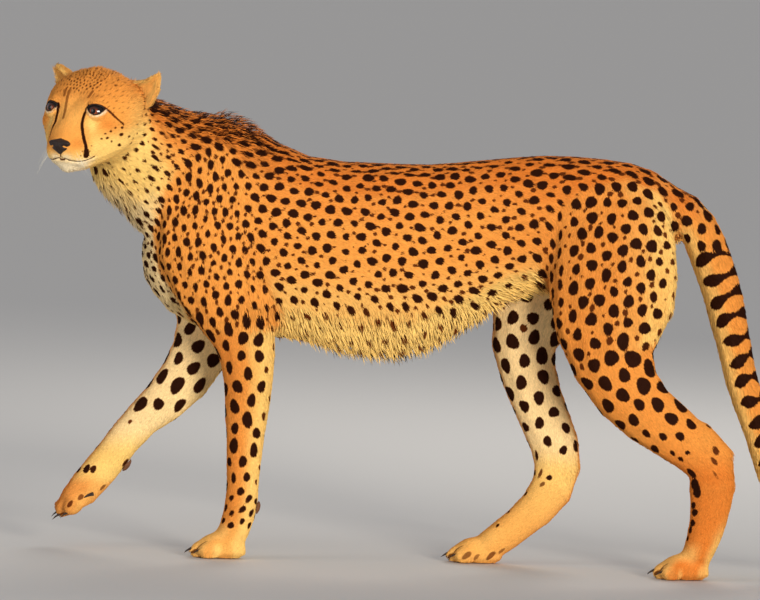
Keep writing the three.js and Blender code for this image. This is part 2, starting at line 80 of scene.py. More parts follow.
SIDES = ("left", "right")
SIGNS = (-1, 1)  # of y in the head's frame, left and right
LEG_PARTS = ("upper_arm", "forearm", "forepaw", "thigh", "shank", "hind_foot")
SPINE_PARTS = ("head", "neck", "trunk", "tail_base", "tail_middle", "tail_tip")
LIMB_NODES = tuple(f"{part}_{side}" for part in LEG_PARTS for side in SIDES)
FEET = tuple(f"{part}_{side}" for part in ("forepaw", "hind_foot") for side in SIDES)
TAIL_PARTS = SPINE_PARTS[3:]
FLESH = SPINE_PARTS + LIMB_NODES
EARS = ("ear_left", "ear_right")
PLACES = FLESH + EARS
FRONT_CLAWS = [f"claw_fore_{side}_{n}" for side in SIDES for n in (1, 2, 3, 4)]
BACK_CLAWS = [f"claw_hind_{side}_{n}" for side in SIDES for n in (1, 2, 3, 4)]
DEW_CLAWS = ("dew_claw_left", "dew_claw_right")
PADS = ("wrist_pad_left", "wrist_pad_right")

HEAD_YAW = math.radians(62)
HEAD_PITCH = math.radians(11)
EYE_BACK, EYE_OUT, EYE_UP = 0.058, 0.041, 0.047
EYE_RADIUS = 0.018
MIDDLE_Y = 0.0386  # the body's middle plane
MIRROR_SUM = 0.0771  # y of a place and of its mirror image, added
MIDLINE = 0.04  # parts the left legs from the right ones
CUT = 0.0016  # two CAD nodes nearer than this share a cut
SEED = 7


# ---- colours, properties ---------------------------------------------------------


def linear(red, green, blue):
    """A colour given as 0-255 screen values, in the linear values that Blender uses."""
    out = []
    for value in (red, green, blue):
        value /= 255
        out.append(value / 12.92 if value <= 0.04045 else ((value + 0.055) / 1.055) ** 2.4)
    return tuple(out)


def length_property(name, description, default):
    return FloatProperty(
        name=name, description=description, default=default, unit="LENGTH", subtype="DISTANCE"
    )


def colour_property(name, description, default):
    return FloatVectorProperty(
        name=name, description=description, default=default, subtype="COLOR", size=3, min=0, max=1
    )


class CheetahSkinSizes(PropertyGroup):
    """How finely the skin is made."""

    swell: length_property("Swell", "Growth that closes the cuts between the flesh parts", 0.0008)
    grain: length_property("Grain", "Edge length of the skin's mesh on the body", 0.006)
    fine_grain: length_property("Fine grain", "Edge length of the surface it is fitted to", 0.0026)
    ear_grain: length_property("Ear grain", "Edge length of the skin's mesh on the ears", 0.0019)


class CheetahCoatLook(PropertyGroup):
    """Colours of the coat and how thickly the tufts stand."""

    gold: colour_property("Gold", "The coat's main colour", linear(238, 157, 70))
    orange: colour_property("Orange", "The warmer coat of the back and face", linear(216, 120, 44))
    cream: colour_property("Cream", "Belly, throat and inner legs", linear(250, 206, 118))
    white: colour_property("White", "Chin, lips and tail tuft", linear(250, 232, 196))
    brown: colour_property("Brown", "Soft edges of the spots", linear(104, 48, 12))
    black: colour_property("Black", "The middle of the spots", linear(42, 15, 3))
    tufts: IntProperty(
        name="Tufts", description="Number of tufts in the whole coat", default=212000, min=1000
    )


class CheetahEyeLook(PropertyGroup):
    """Sizes and colours of the eyes."""

    iris: length_property("Iris", "Radius of the iris", 0.0095)
    pupil: length_property("Pupil", "Radius of the pupil", 0.0043)
    opening_width: length_property("Opening width", "Corner to corner of the lids", 0.0275)
    opening_height: length_property("Opening height", "Upper lid to lower lid", 0.0165)
    amber: colour_property("Amber", "The middle of the iris", linear(158, 78, 40))
    umber: colour_property("Umber", "The outer iris", linear(66, 20, 8))
    rim: colour_property("Rim", "The bare skin of the lids", linear(22, 13, 9))


class CheetahStageSizes(PropertyGroup):
    """The camera's distance and how wide its view is."""

    distance: length_property("Distance", "From the camera to the middle of the figure", 40.0)
    width: length_property("View width", "What the picture spans at that distance", 1.292)


# ---- small tools -----------------------------------------------------------------


def smooth(low, high, value):
    """0 below low, 1 above high, with a soft step between."""
    t = np.clip((value - low) / (high - low), 0, 1)
    return t * t * (3 - 2 * t)


def unit(vectors):
    size = np.linalg.norm(vectors, axis=-1, keepdims=True)
    return vectors / np.maximum(size, 1e-9)


def laid_flat(vectors, normals):
    """Directions turned into the surface that has these normals."""
    return unit(vectors - (vectors * normals).sum(axis=1)[:, None] * normals)


def link(name, data):
    made = bpy.data.objects.new(name, data)
    bpy.context.scene.collection.objects.link(made)
    return made


def finish(name, mesh, material, slot, *nodes):
    """Puts a mesh in the scene as a piece of its own, in place of the named CAD nodes."""
    if material:
        mesh.materials.append(material)
    made = link(name, mesh)
    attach(made, "root")
    if nodes:
        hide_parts(*nodes)
    return made


def smooth_shaded(mesh):
    mesh.polygons.foreach_set("use_smooth", np.ones(len(mesh.polygons), bool))


# owner holds, for each place, the number in PLACES of the CAD node nearest to it


def at(owner, *names):
    """Where the nearest CAD node is one of those named."""
    return np.isin(owner, [PLACES.index(name) for name in names])


def both(owner, part):
    return at(owner, f"{part}_left", f"{part}_right")


def tree_of(places):
    tree = KDTree(len(places))
    for number, place in enumerate(places.tolist()):
        tree.insert(place, number)
    tree.balance()
    return tree


def read_vertices(mesh, what="co"):
    out = np.empty(len(mesh.vertices) * 3, np.float32)
    mesh.vertices.foreach_get(what, out)
    return out.reshape(-1, 3).astype(np.float64)


def write_vertices(mesh, places):
    mesh.vertices.foreach_set("co", np.ascontiguousarray(places, np.float32).ravel())
    mesh.update()


def write_attributes(mesh, **fields):
    """Puts named values on a mesh's corners, one number or three for each."""
    for name, values in fields.items():
        values = np.ascontiguousarray(values, np.float32)
        kind, field = ("FLOAT_VECTOR", "vector") if values.ndim == 2 else ("FLOAT", "value")
        layer = mesh.attributes.new(name, kind, "POINT")
        layer.data.foreach_set(field, values.ravel())


def copy_merged(name):
    """A CAD node as a mesh with its corners merged."""
    made = bmesh.new()
    made.from_mesh(NODES[name].data)
    bmesh.ops.remove_doubles(made, verts=made.verts, dist=1e-6)
    made.normal_update()
    return made


def fused(names, swell, grain):
    """One closed mesh over several CAD nodes, remade at an even grain."""
    whole = bmesh.new()
    for name in names:
        made = copy_merged(name)
        for vertex, place in zip(made.verts, [v.co + v.normal * swell for v in made.verts]):
            vertex.co = place
        copy = bpy.data.meshes.new(name)
        made.to_mesh(copy)
        made.free()
        whole.from_mesh(copy)
        bpy.data.meshes.remove(copy)
    mesh = bpy.data.meshes.new("flesh")
    whole.to_mesh(mesh)
    whole.free()
    holder = link("flesh", mesh)
    remesh = holder.modifiers.new("Even grain", "REMESH")
    remesh.mode = "VOXEL"
    remesh.voxel_size = grain
    graph = bpy.context.evaluated_depsgraph_get()
    made = bpy.data.meshes.new_from_object(holder.evaluated_get(graph))
    bpy.data.objects.remove(holder)
    bpy.data.meshes.remove(mesh)
    return made


class Net:
    """The edges of a mesh, for averages over neighbours."""

    def __init__(self, mesh):
        ends = np.empty(len(mesh.edges) * 2, np.int32)
        mesh.edges.foreach_get("vertices", ends)
        self.first, self.second = ends.reshape(-1, 2).T
        self.count = len(mesh.vertices)
        self.degree = np.maximum(
            np.bincount(self.first, minlength=self.count)
            + np.bincount(self.second, minlength=self.count),
            1,
        )

    def mean(self, values):
        values = values.reshape(self.count, -1)
        out = np.empty_like(values, dtype=np.float64)
        for column in range(values.shape[1]):
            value = values[:, column]
            total = np.bincount(self.first, value[self.second], self.count)
            total += np.bincount(self.second, value[self.first], self.count)
            out[:, column] = total / self.degree
        return out

    def blur(self, values, rounds):
        shape = values.shape
        values = values.reshape(self.count, -1).astype(np.float64)
        for _ in range(rounds):
            values = 0.5 * values + 0.5 * self.mean(values)
        return values.reshape(shape)

    def melt(self, places, share, rounds):
        """Draws places halfway to their neighbours' middle, where share is 1."""
        for _ in range(rounds):
            places = places + 0.5 * share[:, None] * (self.mean(places) - places)
        return places

    def relax(self, places, weight, rounds):
        """Smooths places without shrinking them; weight is how much at each vertex."""
        weight = np.asarray(weight).reshape(-1, 1)
        for _ in range(rounds):
            for share in (0.5, -0.515):
                places = places + share * weight * (self.mean(places) - places)
        return places


def relaxed(mesh, rounds):
    net = Net(mesh)
    return net.relax(read_vertices(mesh), np.ones(net.count), rounds)


def surface_of(mesh):
    """The mesh as a tree that finds the nearest place on it."""
    made = bmesh.new()
    made.from_mesh(mesh)
    tree = BVHTree.FromBMesh(made)
    made.free()
    return tree


def onto(surface, places):
    """The nearest place on a surface to each of the places."""
    return np.array([surface.find_nearest(place)[0] for place in places.tolist()])


class HeadPlace:
    """The head's own frame: nose pad at the origin, back, left-to-right and up, in metres."""

    def __init__(self):
        turn = Matrix.Rotation(HEAD_YAW, 3, "Z") @ Matrix.Rotation(-HEAD_PITCH, 3, "Y")
        self.turn = np.array(turn)
        between = (self.middle("eye_left") + self.middle("eye_right")) / 2
        self.origin = between - self.turn @ np.array((EYE_BACK, 0, EYE_UP))

    @staticmethod
    def middle(name):
        low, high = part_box(name)
        return np.array((low + high) / 2)

    def inward(self, places):
        """Places of the body's frame in the head's frame, in millimetres."""
        return (places - self.origin) @ self.turn * 1000

    def outward(self, places):
        """The head's frame in millimetres to the body's frame."""
        return np.asarray(places) / 1000 @ self.turn.T + self.origin

    def direction(self, vectors):
        return np.asarray(vectors) @ self.turn.T


HEAD = HeadPlace()


def nearest_node(places):
    """For each place, the number in PLACES of the CAD node whose surface is nearest."""
    corners, faces, owner = [], [], []
    for number, name in enumerate(PLACES):
        made = copy_merged(name)
        start = len(corners)
        corners += [v.co.copy() for v in made.verts]
        faces += [[start + v.index for v in face.verts] for face in made.faces]
        owner += [number] * len(made.faces)
        made.free()
    find = BVHTree.FromPolygons(corners, faces).find_nearest
    return np.array([owner[find(place)[2]] for place in places.tolist()])


# ---- where the legs, the tail and the neck run -------------------------------------


def joint(first, second):
    """The middle of the cut between two neighbouring nodes."""
    one, other = (read_vertices(NODES[name].data) for name in (first, second))
    tree = tree_of(other)
    near = np.array([place for place in one.tolist() if tree.find(place)[2] < CUT])
    if not len(near):
        raise RuntimeError(f"{first} and {second} share no cut")
    return (near.min(axis=0) + near.max(axis=0)) / 2


def claw_tips(kind, side):
    return [HeadPlace.middle(f"claw_{kind}_{side}_{n}") for n in (1, 2, 3, 4)]


def leg_lines():
    """For each leg node, its line from its upper cut to its lower one."""
    out = {}
    for parts, kind in ((LEG_PARTS[:3], "fore"), (LEG_PARTS[3:], "hind")):
        for side in SIDES:
            names = [f"{part}_{side}" for part in parts]
            low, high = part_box(names[0])
            line = [np.array(((low.x + high.x) / 2, (low.y + high.y) / 2, high.z))]
            line += [joint(a, b) for a, b in zip(names, names[1:])]
            line.append(np.mean(claw_tips(kind, side), axis=0))
            out.update(zip(names, zip(line, line[1:])))
    return out


def tail_line():
    """The middles of the tail's cuts, from the trunk on, and the end of its tip."""
    low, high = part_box("tail_tip")
    line = [joint(one, other) for one, other in zip(("trunk", *TAIL_PARTS), TAIL_PARTS)]
    return [*line, np.array((high.x, (low.y + high.y) / 2, (low.z + high.z) / 2))]


# ---- the skin's forms --------------------------------------------------------------

# bumps and hollows of the head, in its own frame in millimetres: middle, reach, height.
# One off the middle line is made on both sides.
HEAD_FORMS = (
    ((55, 43, 66), (13, 16, 6), 4.4),  # brow
    ((70, 42, 78), (20, 20, 12), 1.6),  # above the brow
    ((52, 0, 64), (16, 10, 12), -2.2),  # hollow between the brows
    ((90, 60, 72), (20, 14, 18), -3.0),  # temple
    ((63, 67, 24), (20, 16, 10), 3.4),  # cheekbone
    ((42, 44, 28), (10, 12, 8), -2.4),  # under the eye
    ((27, 0, 40), (20, 9, 14), 1.8),  # bridge of the nose
    ((31, 21, 34), (14, 7, 12), -2.4),  # beside the bridge
    ((12, 24, -12), (14, 12, 13), 3.2),  # whisker pad
    ((8, 14, -24), (9, 10, 6), 1.6),  # upper lip
    ((28, 40, -14), (12, 9, 12), 1.4),  # back of the whisker pad
    ((34, 37, -36), (14, 10, 9), -2.2),  # behind the corner of the mouth
    ((12, 0, -45), (12, 14, 8), 2.6),  # chin
    ((14, 20, -41), (9, 8, 7), -1.6),  # side of the chin
    ((90, 70, -18), (24, 14, 20), 3.0),  # jaw muscle
    ((112, 0, 104), (34, 10, 12), 1.2),  # crest of the skull
)

# creases of the head: a line of places, how wide and how deep
MOUTH = (
    (-1, 0, -24),
    (1, 12, -25.5),
    (5.6, 24, -29),
    (13, 32.5, -31),
    (24, 38, -29),
    (36, 43, -24),
)
PHILTRUM = ((-5, 0, -10), (-3, 0, -18), (-1, 0, -24))
TEAR = (
    (47.5, 31, 58.5),
    (45, 28, 55),
    (41, 27.5, 50),
    (34, 27, 43),
    (28, 27.5, 32.5),
    (23.6, 32, 20.5),
    (20.8, 35.7, 8),
    (20, 39, -3),
    (18.5, 39.5, -12),
    (18, 40, -19),
)
EYE_TAIL = ((58, 57, 55), (61, 64.5, 49), (64.7, 71, 40), (71.4, 75.6, 30.5), (78, 79, 23))
# the right ear's foot, its way up and its way across, in the head's frame
EAR_FOOT = np.array((146, 69, 61))
EAR_UP = np.array((0, 0.656, 0.755))
EAR_ACROSS = np.array((0, 0.755, -0.656))
EAR_OUTER = 10  # how far across, from the ear's foot, its tip lies
EAR_DRAWN_IN = {"ear_left": (0.52, -1), "ear_right": (0.25, 1)}  # at most, and its side
EAR_COAT = 0.0008  # depth of the coat on the ears
HEAD_CREASES = ((MOUTH, 2.4, -2.2), (PHILTRUM, 1.8, -1.0), (TEAR, 3.2, -0.9))

# bumps and hollows of both shoulders, given for the left one, in metres
SHOULDER_FORMS = (
    ((-0.425, -0.07, 0.640), (0.020, 0.05, 0.070), 0.004),  # ridge of the shoulder blade
    ((-0.395, -0.07, 0.655), (0.014, 0.05, 0.050), -0.003),
    ((-0.465, -0.07, 0.600), (0.020, 0.05, 0.050), -0.004),
    ((-0.345, -0.07, 0.590), (0.022, 0.05, 0.070), -0.006),  # behind the shoulder
    ((-0.410, -0.08, 0.520), (0.040, 0.05, 0.045), 0.005),  # upper arm
    ((-0.362, -0.08, 0.440), (0.018, 0.04, 0.022), 0.004),  # point of the elbow
)
# the same for the left side of the body and for the right legs, which stand elsewhere
BODY_FORMS = (
    ((-0.335, -0.07, 0.445), (0.016, 0.04, 0.030), -0.005),
    ((-0.380, -0.07, 0.330), (0.008, 0.04, 0.080), -0.002),
    ((0.120, -0.06, 0.570), (0.045, 0.05, 0.060), -0.005),  # flank in front of the thigh
    ((0.150, -0.05, 0.716), (0.030, 0.03, 0.020), 0.004),  # hip
    ((0.300, -0.07, 0.560), (0.050, 0.05, 0.070), 0.005),  # thigh
    ((0.345, -0.07, 0.500), (0.012, 0.05, 0.080), -0.003),
    ((0.175, -0.09, 0.430), (0.030, 0.04, 0.030), 0.004),  # knee
    ((0.424, -0.08, 0.270), (0.011, 0.05, 0.040), -0.005),  # hollow before the heel's tendon
    ((0.450, -0.08, 0.235), (0.012, 0.04, 0.016), 0.003),  # point of the heel
    ((0.170, -0.07, 0.560), (0.011, 0.05, 0.090), -0.007),  # fold before the thigh
)
RIGHT_LEG_FORMS = (
    ((-0.425, 0.14, 0.450), (0.020, 0.05, 0.024), 0.004),
    ((0.045, 0.15, 0.440), (0.030, 0.05, 0.030), 0.004),
    ((0.168, 0.12, 0.250), (0.011, 0.05, 0.040), -0.005),
    ((0.180, 0.12, 0.210), (0.012, 0.04, 0.016), 0.003),
)


def both_sides(line):
    """The line, and its mirror image where it doesn't run along the middle."""
    off_middle = any(y for _, y, _ in line)
    return (line, [(x, -y, z) for x, y, z in line]) if off_middle else (line,)


def forms_of_both_sides(forms):
    out = []
    for middle, reach, amount in forms:
        out += [(point, reach, amount) for (point,) in both_sides((middle,))]
    return out


def beside(places, line, reach=1e6):
    """How far each place is from a line of points, and how far along it, 0 to 1."""
    line = np.asarray(line, float)
    spans = np.linalg.norm(np.diff(line, axis=0), axis=1)
    starts = np.concatenate(([0], np.cumsum(spans)))
    low, high = line.min(axis=0) - reach, line.max(axis=0) + reach
    close = np.flatnonzero(((places > low) & (places < high)).all(axis=1))
    here = places[close]
    best, share = np.full(len(close), 1e9), np.zeros(len(close))
    for start, end, span, before in zip(line, line[1:], spans, starts):
        t = np.clip((here - start) @ (end - start) / span**2, 0, 1)
        gap = np.linalg.norm(here - (start + t[:, None] * (end - start)), axis=1)
        nearer = gap < best
        best[nearer] = gap[nearer]
        share[nearer] = ((before + t * span) / starts[-1])[nearer]
    gaps, shares = np.full(len(places), 1e9), np.zeros(len(places))
    gaps[close], shares[close] = best, share
    return gaps, shares


LAID_STEP = 0.0025  # at most, between the points of a line that is laid on the skin


def laid(line, surface):
    """A line with more points, laid on the skin."""
    line = np.asarray(line, float)
    out = [line[0]]
    for start, end in zip(line, line[1:]):
        count = math.ceil(np.linalg.norm(end - start) / LAID_STEP)
        out += [start + (end - start) * (n + 1) / count for n in range(count)]
    return onto(surface, np.array(out))


def laid_on_head(line, surface):
    """The same for a line of the head's frame."""
    return HEAD.inward(laid(HEAD.outward(np.asarray(line, float)), surface))


def seen_from_left(x, z, surface):
    """The skin that a level look from the left meets first, or passes most closely."""
    met = surface.ray_cast((x, -1, z), (0, 1, 0))[0]
    return met or surface.find_nearest((x, MIDDLE_Y, z))[0]


def raised(places, normals, forms):
    """Places moved along their normals by a list of bumps and hollows."""
    height = np.zeros(len(places))
    for middle, reach, amount in forms:
        gap = (places - np.array(middle)) / np.array(reach)
        height += amount * np.exp(-(gap**2).sum(axis=1))
    return places + normals * height[:, None]


def shaped_head(places, normals, surface):
    """The head's skin with its bumps and creases, in millimetres of the head's frame."""
    out = raised(places, normals, forms_of_both_sides(HEAD_FORMS))
    for line, width, depth in HEAD_CREASES:
        for side in both_sides(line):
            gap, share = beside(places, laid_on_head(side, surface), reach=12)
            depth_here = depth * np.exp(-((gap / width) ** 2)) * (1 - 0.5 * share)
            out = out + normals * depth_here[:, None]
    return out


# how far outwards and upwards the lids' opening faces, and the eyes look
LIDS_FACE = (math.radians(17), math.radians(20))
EYES_LOOK = (math.radians(12), math.radians(17))


class EyePlace:
    """One eye: its middle, which way its opening faces, and the outline of the lids."""

    def __init__(self, side, look):
        self.sign = -1 if side == "left" else 1
        self.middle = np.array((EYE_BACK, self.sign * EYE_OUT, EYE_UP)) * 1000
        self.front = self.aim(*LIDS_FACE)
        self.side = unit(np.cross((0, 0, 1), self.front) * -self.sign)
        self.up = unit(np.cross(self.side, self.front) * self.sign)
        self.gaze = self.aim(*EYES_LOOK)
        half = look.opening_width * 500
        high = look.opening_height * 1000
        turn = np.linspace(0, 2 * math.pi, 73)[:-1]
        across = -half * np.cos(turn)
        bow = np.sqrt(np.maximum(1 - (across / half) ** 2, 0))
        level = 6.0 - 0.8 * across / half
        upper = level + 0.26 * high * bow**1.5
        lower = level - 0.76 * high * bow**1.1
        heights = np.where(np.sin(turn) > 0, upper, lower)
        self.outline = np.stack((across + 1.2, heights), axis=1)
        self.upper = np.sin(turn) > 0

    def aim(self, out, up):
        """A direction to the front, turned so far outwards and upwards."""
        return np.array(
            (-math.cos(up) * math.cos(out), self.sign * math.sin(out) * math.cos(up), math.sin(up))
        )

    def flat(self, places):
        """Places as across, up and forward of the eye's middle."""
        gap = places - self.middle
        return np.stack((gap @ self.side, gap @ self.up, gap @ self.front), axis=1)

    def outside(self, flat):
        """How far outside the lids' outline each place is; negative within it."""
        points = flat[:, :2]
        best = np.full(len(points), 1e9)
        inside = np.zeros(len(points), bool)
        loop = np.concatenate((self.outline, self.outline[:1]))
        for start, end in zip(loop, loop[1:]):
            run = end - start
            t = np.clip((points - start) @ run / (run @ run), 0, 1)
            best = np.minimum(best, np.linalg.norm(points - start - t[:, None] * run, axis=1))
            if start[1] != end[1]:
                level = (points[:, 1] - start[1]) / (end[1] - start[1])
                crossing = (level >= 0) & (level < 1)
                crossing &= points[:, 0] < start[0] + level * run[0]
                inside ^= crossing
        return np.where(inside, -best, best)

    def lids(self, places):
        """The skin drawn over the ball as two lids, open within the outline."""
        flat = self.flat(places)
        reach = np.linalg.norm(places - self.middle, axis=1)
        near = (reach < 34) & (flat[:, 2] > -4)
        outside = self.outside(flat)
        ball = EYE_RADIUS * 1000
        lid = ball + 0.5 + 1.7 * smooth(0, 3.5, outside)
        hold = np.where(reach < lid, 1.0, np.exp(-((np.maximum(outside, 0) / 4.5) ** 2)))
        hold = hold * np.exp(-((np.maximum(outside - 9, 0) / 5) ** 2))
        target = np.where(outside < 0, ball - 4.5, reach + hold * (lid - reach))
        moved = self.middle + (places - self.middle) * (target / np.maximum(reach, 1e-6))[:, None]
        return np.where(near[:, None], moved, places)

    def on_ball(self, points, radius):
        """Outline points as places on a ball round the eye's middle."""
        across, up = np.asarray(points, float).T
        flat = np.hypot(across, up)
        squeeze = np.minimum(1, 0.985 * radius / np.maximum(flat, 1e-6))
        across, up = across * squeeze, up * squeeze
        forward = np.sqrt(np.maximum(radius**2 - across**2 - up**2, 0))
        return (
            self.middle
            + across[:, None] * self.side
            + up[:, None] * self.up
            + forward[:, None] * self.front
        )


# ---- how the coat lies --------------------------------------------------------------

# length and width of a tuft in millimetres, how it lifts in degrees, and the coat's depth
COAT_TABLE = {
    "head": (5.6, 1.1, 10, 2.0),
    "neck": (13, 1.9, 11, 4.5),
    "trunk": (11, 1.9, 8, 3.2),
    "tail_base": (13, 2.0, 9, 3.5),
    "tail_middle": (14, 2.0, 10, 4.0),
    "tail_tip": (17, 2.1, 12, 4.5),
    "upper_arm": (10, 1.8, 8, 3.0),
    "forearm": (8, 1.7, 8, 2.6),
    "forepaw": (5.6, 1.4, 9, 2.0),
    "thigh": (11, 1.9, 8, 3.2),
    "shank": (8, 1.7, 8, 2.6),
    "hind_foot": (6, 1.4, 9, 2.0),
    "ear": (6.5, 1.1, 12, 1.2),
}


def strip_side(name):
    for side in SIDES:
        name = name.removesuffix(f"_{side}")
    return name


def columns_of(table, owner):
    """The columns of a table, each with one value for every place."""
    rows = np.array([table[strip_side(name)] for name in PLACES])
    return list(rows[owner].T.copy())


def add(columns, share, *amounts):
    """Adds to the columns, in their order, as much as each place has a share in."""
    for column, amount in zip(columns, amounts):
        column += share * amount


def coat_lie(places, normals, owner):
    """Which way the hair runs at each place, before it is laid flat on the skin."""
    flow = np.zeros_like(places)
    lines, tail = leg_lines(), tail_line()
    lines["neck"] = (HeadPlace.middle("head"), joint("neck", "trunk"))
    lines.update(zip(TAIL_PARTS, zip(tail, tail[1:])))
    for name, (start, end) in lines.items():
        flow[at(owner, name)] = unit(end - start)
    trunk = at(owner, "trunk")
    side = np.abs(normals[trunk, 1])
    rear = smooth(0.25, 0.42, places[trunk, 0])
    low_side = smooth(0.49, 0.42, places[trunk, 2])
    fall = -0.28 * side - 0.8 * rear - 1.4 * low_side
    flow[trunk] = np.stack((1 - 0.5 * rear - 0.45 * low_side, 0 * side, fall), axis=1)
    head = at(owner, "head")
    back, across, up = HEAD.inward(places[head]).T
    away = (back + 12, across * 0.75, (up - 4) * 0.75 - 0.12 * np.maximum(back, 0))
    flow[head] = HEAD.direction(unit(np.stack(away, axis=1)))
    for name, sign in zip(EARS, SIGNS):
        flow[at(owner, name)] = HEAD.direction(np.array((0.25, 0.55 * sign, 0.85)))
    return unit(flow)


def ear_back(normals, y):
    """How far each normal of the ears points back and towards the head's middle."""
    turned = normals @ HEAD.turn
    left = y < HeadPlace.middle("head")[1]
    return 0.75 * turned[:, 0] + 0.65 * np.where(left, turned[:, 1], -turned[:, 1])


def mirror_gap(local, middle):
    """From a point of the head to each place, the two sides taken as one."""
    return np.stack((local[:, 0], np.abs(local[:, 1]), local[:, 2]), axis=1) - np.array(middle)


def coat_values(places, normals, owner):
    """Length, width, lift and depth of the coat at each place."""
    columns = columns_of(COAT_TABLE, owner)
    x, _, z = places.T
    trunk, neck, head = (at(owner, name) for name in ("trunk", "neck", "head"))
    below = smooth(0.35, 0.9, -normals[:, 2])
    belly = trunk * below * smooth(-0.33, -0.22, x)
    side_fringe = trunk * smooth(0.46, 0.42, z) * (1 - below)
    nape = smooth(0.2, 0.8, normals[:, 2]) * (neck | trunk)
    nape = nape * smooth(-0.26, -0.40, x)
    crest = nape * np.exp(-(((x + 0.385) / 0.04) ** 2))
    heel = at(owner, *LIMB_NODES) * smooth(0.5, 0.95, normals[:, 0]) * smooth(0.13, 0.2, z)
    elbow = smooth(0.05, 0.0, np.abs(x + 0.33)) * smooth(0.06, 0.0, np.abs(z - 0.43))
    local = HEAD.inward(places)
    cheek = head * smooth(70, 120, local[:, 0])
    chin = head * smooth(-36, -50, local[:, 2])
    lip = head * smooth(34, 4, local[:, 0])
    inside = at(owner, *EARS) * smooth(0.0, 0.5, -ear_back(normals, places[:, 1]))
    ear_foot = np.linalg.norm(mirror_gap(local, (134, 79, 62)), axis=1)
    # what each region adds to the four columns
    for share, *amounts in (
        (belly, 21, 0.2, 30, 10),
        (side_fringe, 13, 0, 3, 0),
        (nape, 12, 0, 27, 4),
        (crest, 16, 0, 22, 0),
        (below * neck, 14, 0, 15, 0),
        (heel, 5, 0, 3, 0),
        (elbow, 12, 0, 8, 0),
        (cheek, 9, 0.6, 7, 0),
        (chin, 5, 0, 5, 0),
        (lip, -2.2, 0, 0, 0),
        (inside, 3, 0, 6, 0),
        (head * smooth(30, 14, ear_foot), 4, 0, 6, 0),
    ):
        add(columns, share, *amounts)
    length, width, lift, depth = columns
    return length / 1000, width / 1000, np.radians(lift), depth / 1000


# ---- markings ----------------------------------------------------------------------

# spacing and radius of the spots in millimetres, how long they are for their width, how dark
SPOT_TABLE = {
    "head": (6.2, 1.6, 1.25, 0.8),
    "neck": (16.5, 4.7, 1.35, 1.0),
    "trunk": (23.9, 6.9, 1.12, 1.0),
    "tail_base": (27, 8.6, 1.1, 1.0),
    "tail_middle": (27, 8.6, 1.0, 1.0),
    "tail_tip": (30, 6.0, 1.0, 1.0),
    "upper_arm": (20.5, 5.6, 1.35, 1.0),
    "forearm": (31, 8.4, 1.4, 1.0),
    "forepaw": (16.5, 5.0, 1.3, 1.0),
    "thigh": (28.5, 8.6, 1.14, 1.0),
    "shank": (35, 11.4, 1.15, 1.0),
    "hind_foot": (1000, 4.0, 1.2, 0.85),
    "ear": (1000, 1.0, 1.0, 0.0),
}
LEAST = 1 / 1.2  # the least gap between spots for the gap they keep on average
NO_SPOT = 1000.0
SPOTTED = 0.5  # a spacing in metres below which there are spots
SMALL_SPOTS = ("trunk", "upper_arm_left", "upper_arm_right", "thigh_left", "thigh_right", "neck")

# single spots of the cheek in the head's frame: back, out, up, radius in millimetres
CHEEK_SPOTS = (
    (62, 72, 21, 1.6), (55, 68, 16.5, 1.9), (47.5, 61.5, 12.6, 1.4), (42, 57, 5.3, 1.6),
    (50, 63, 4, 2.1), (56, 67, -3, 1.6), (75, 78, 19, 2.5), (73.4, 76.6, 5.8, 3.1),
    (90.5, 79, -1.6, 2.4), (105, 78, -8.5, 2.1), (72, 72, -10.5, 2.8), (100, 73, -16, 2.8),
    (113, 84, 14, 1.7), (118, 79, -3, 1.8), (128, 82, 26, 2.3), (138, 80, 8, 2.8),
    (30, 43, -6, 0.9), (26, 41, -13, 0.9), (22, 38, -22, 0.8), (14, 33, -12, 0.8),
    (18, 35, -18, 0.8), (12, 31, -18, 0.8), (20, 37, -8, 0.8), (116, 54, -36, 3.4),
    (114, 50, -46, 3.6), (145, 90, -42, 3.0), (135, 77, -56, 3.2), (117, 47, -69, 3.4),
    (151, 92, -18, 3.2), (165, 98, -11, 3.6), (170, 79, 22, 3.4), (170, 89, 12, 3.4),
    (113, 11, -70, 6.0), (120, 12, -72, 5.0), (96, 60, 92, 2.0), (110, 58, 98, 2.2),
)
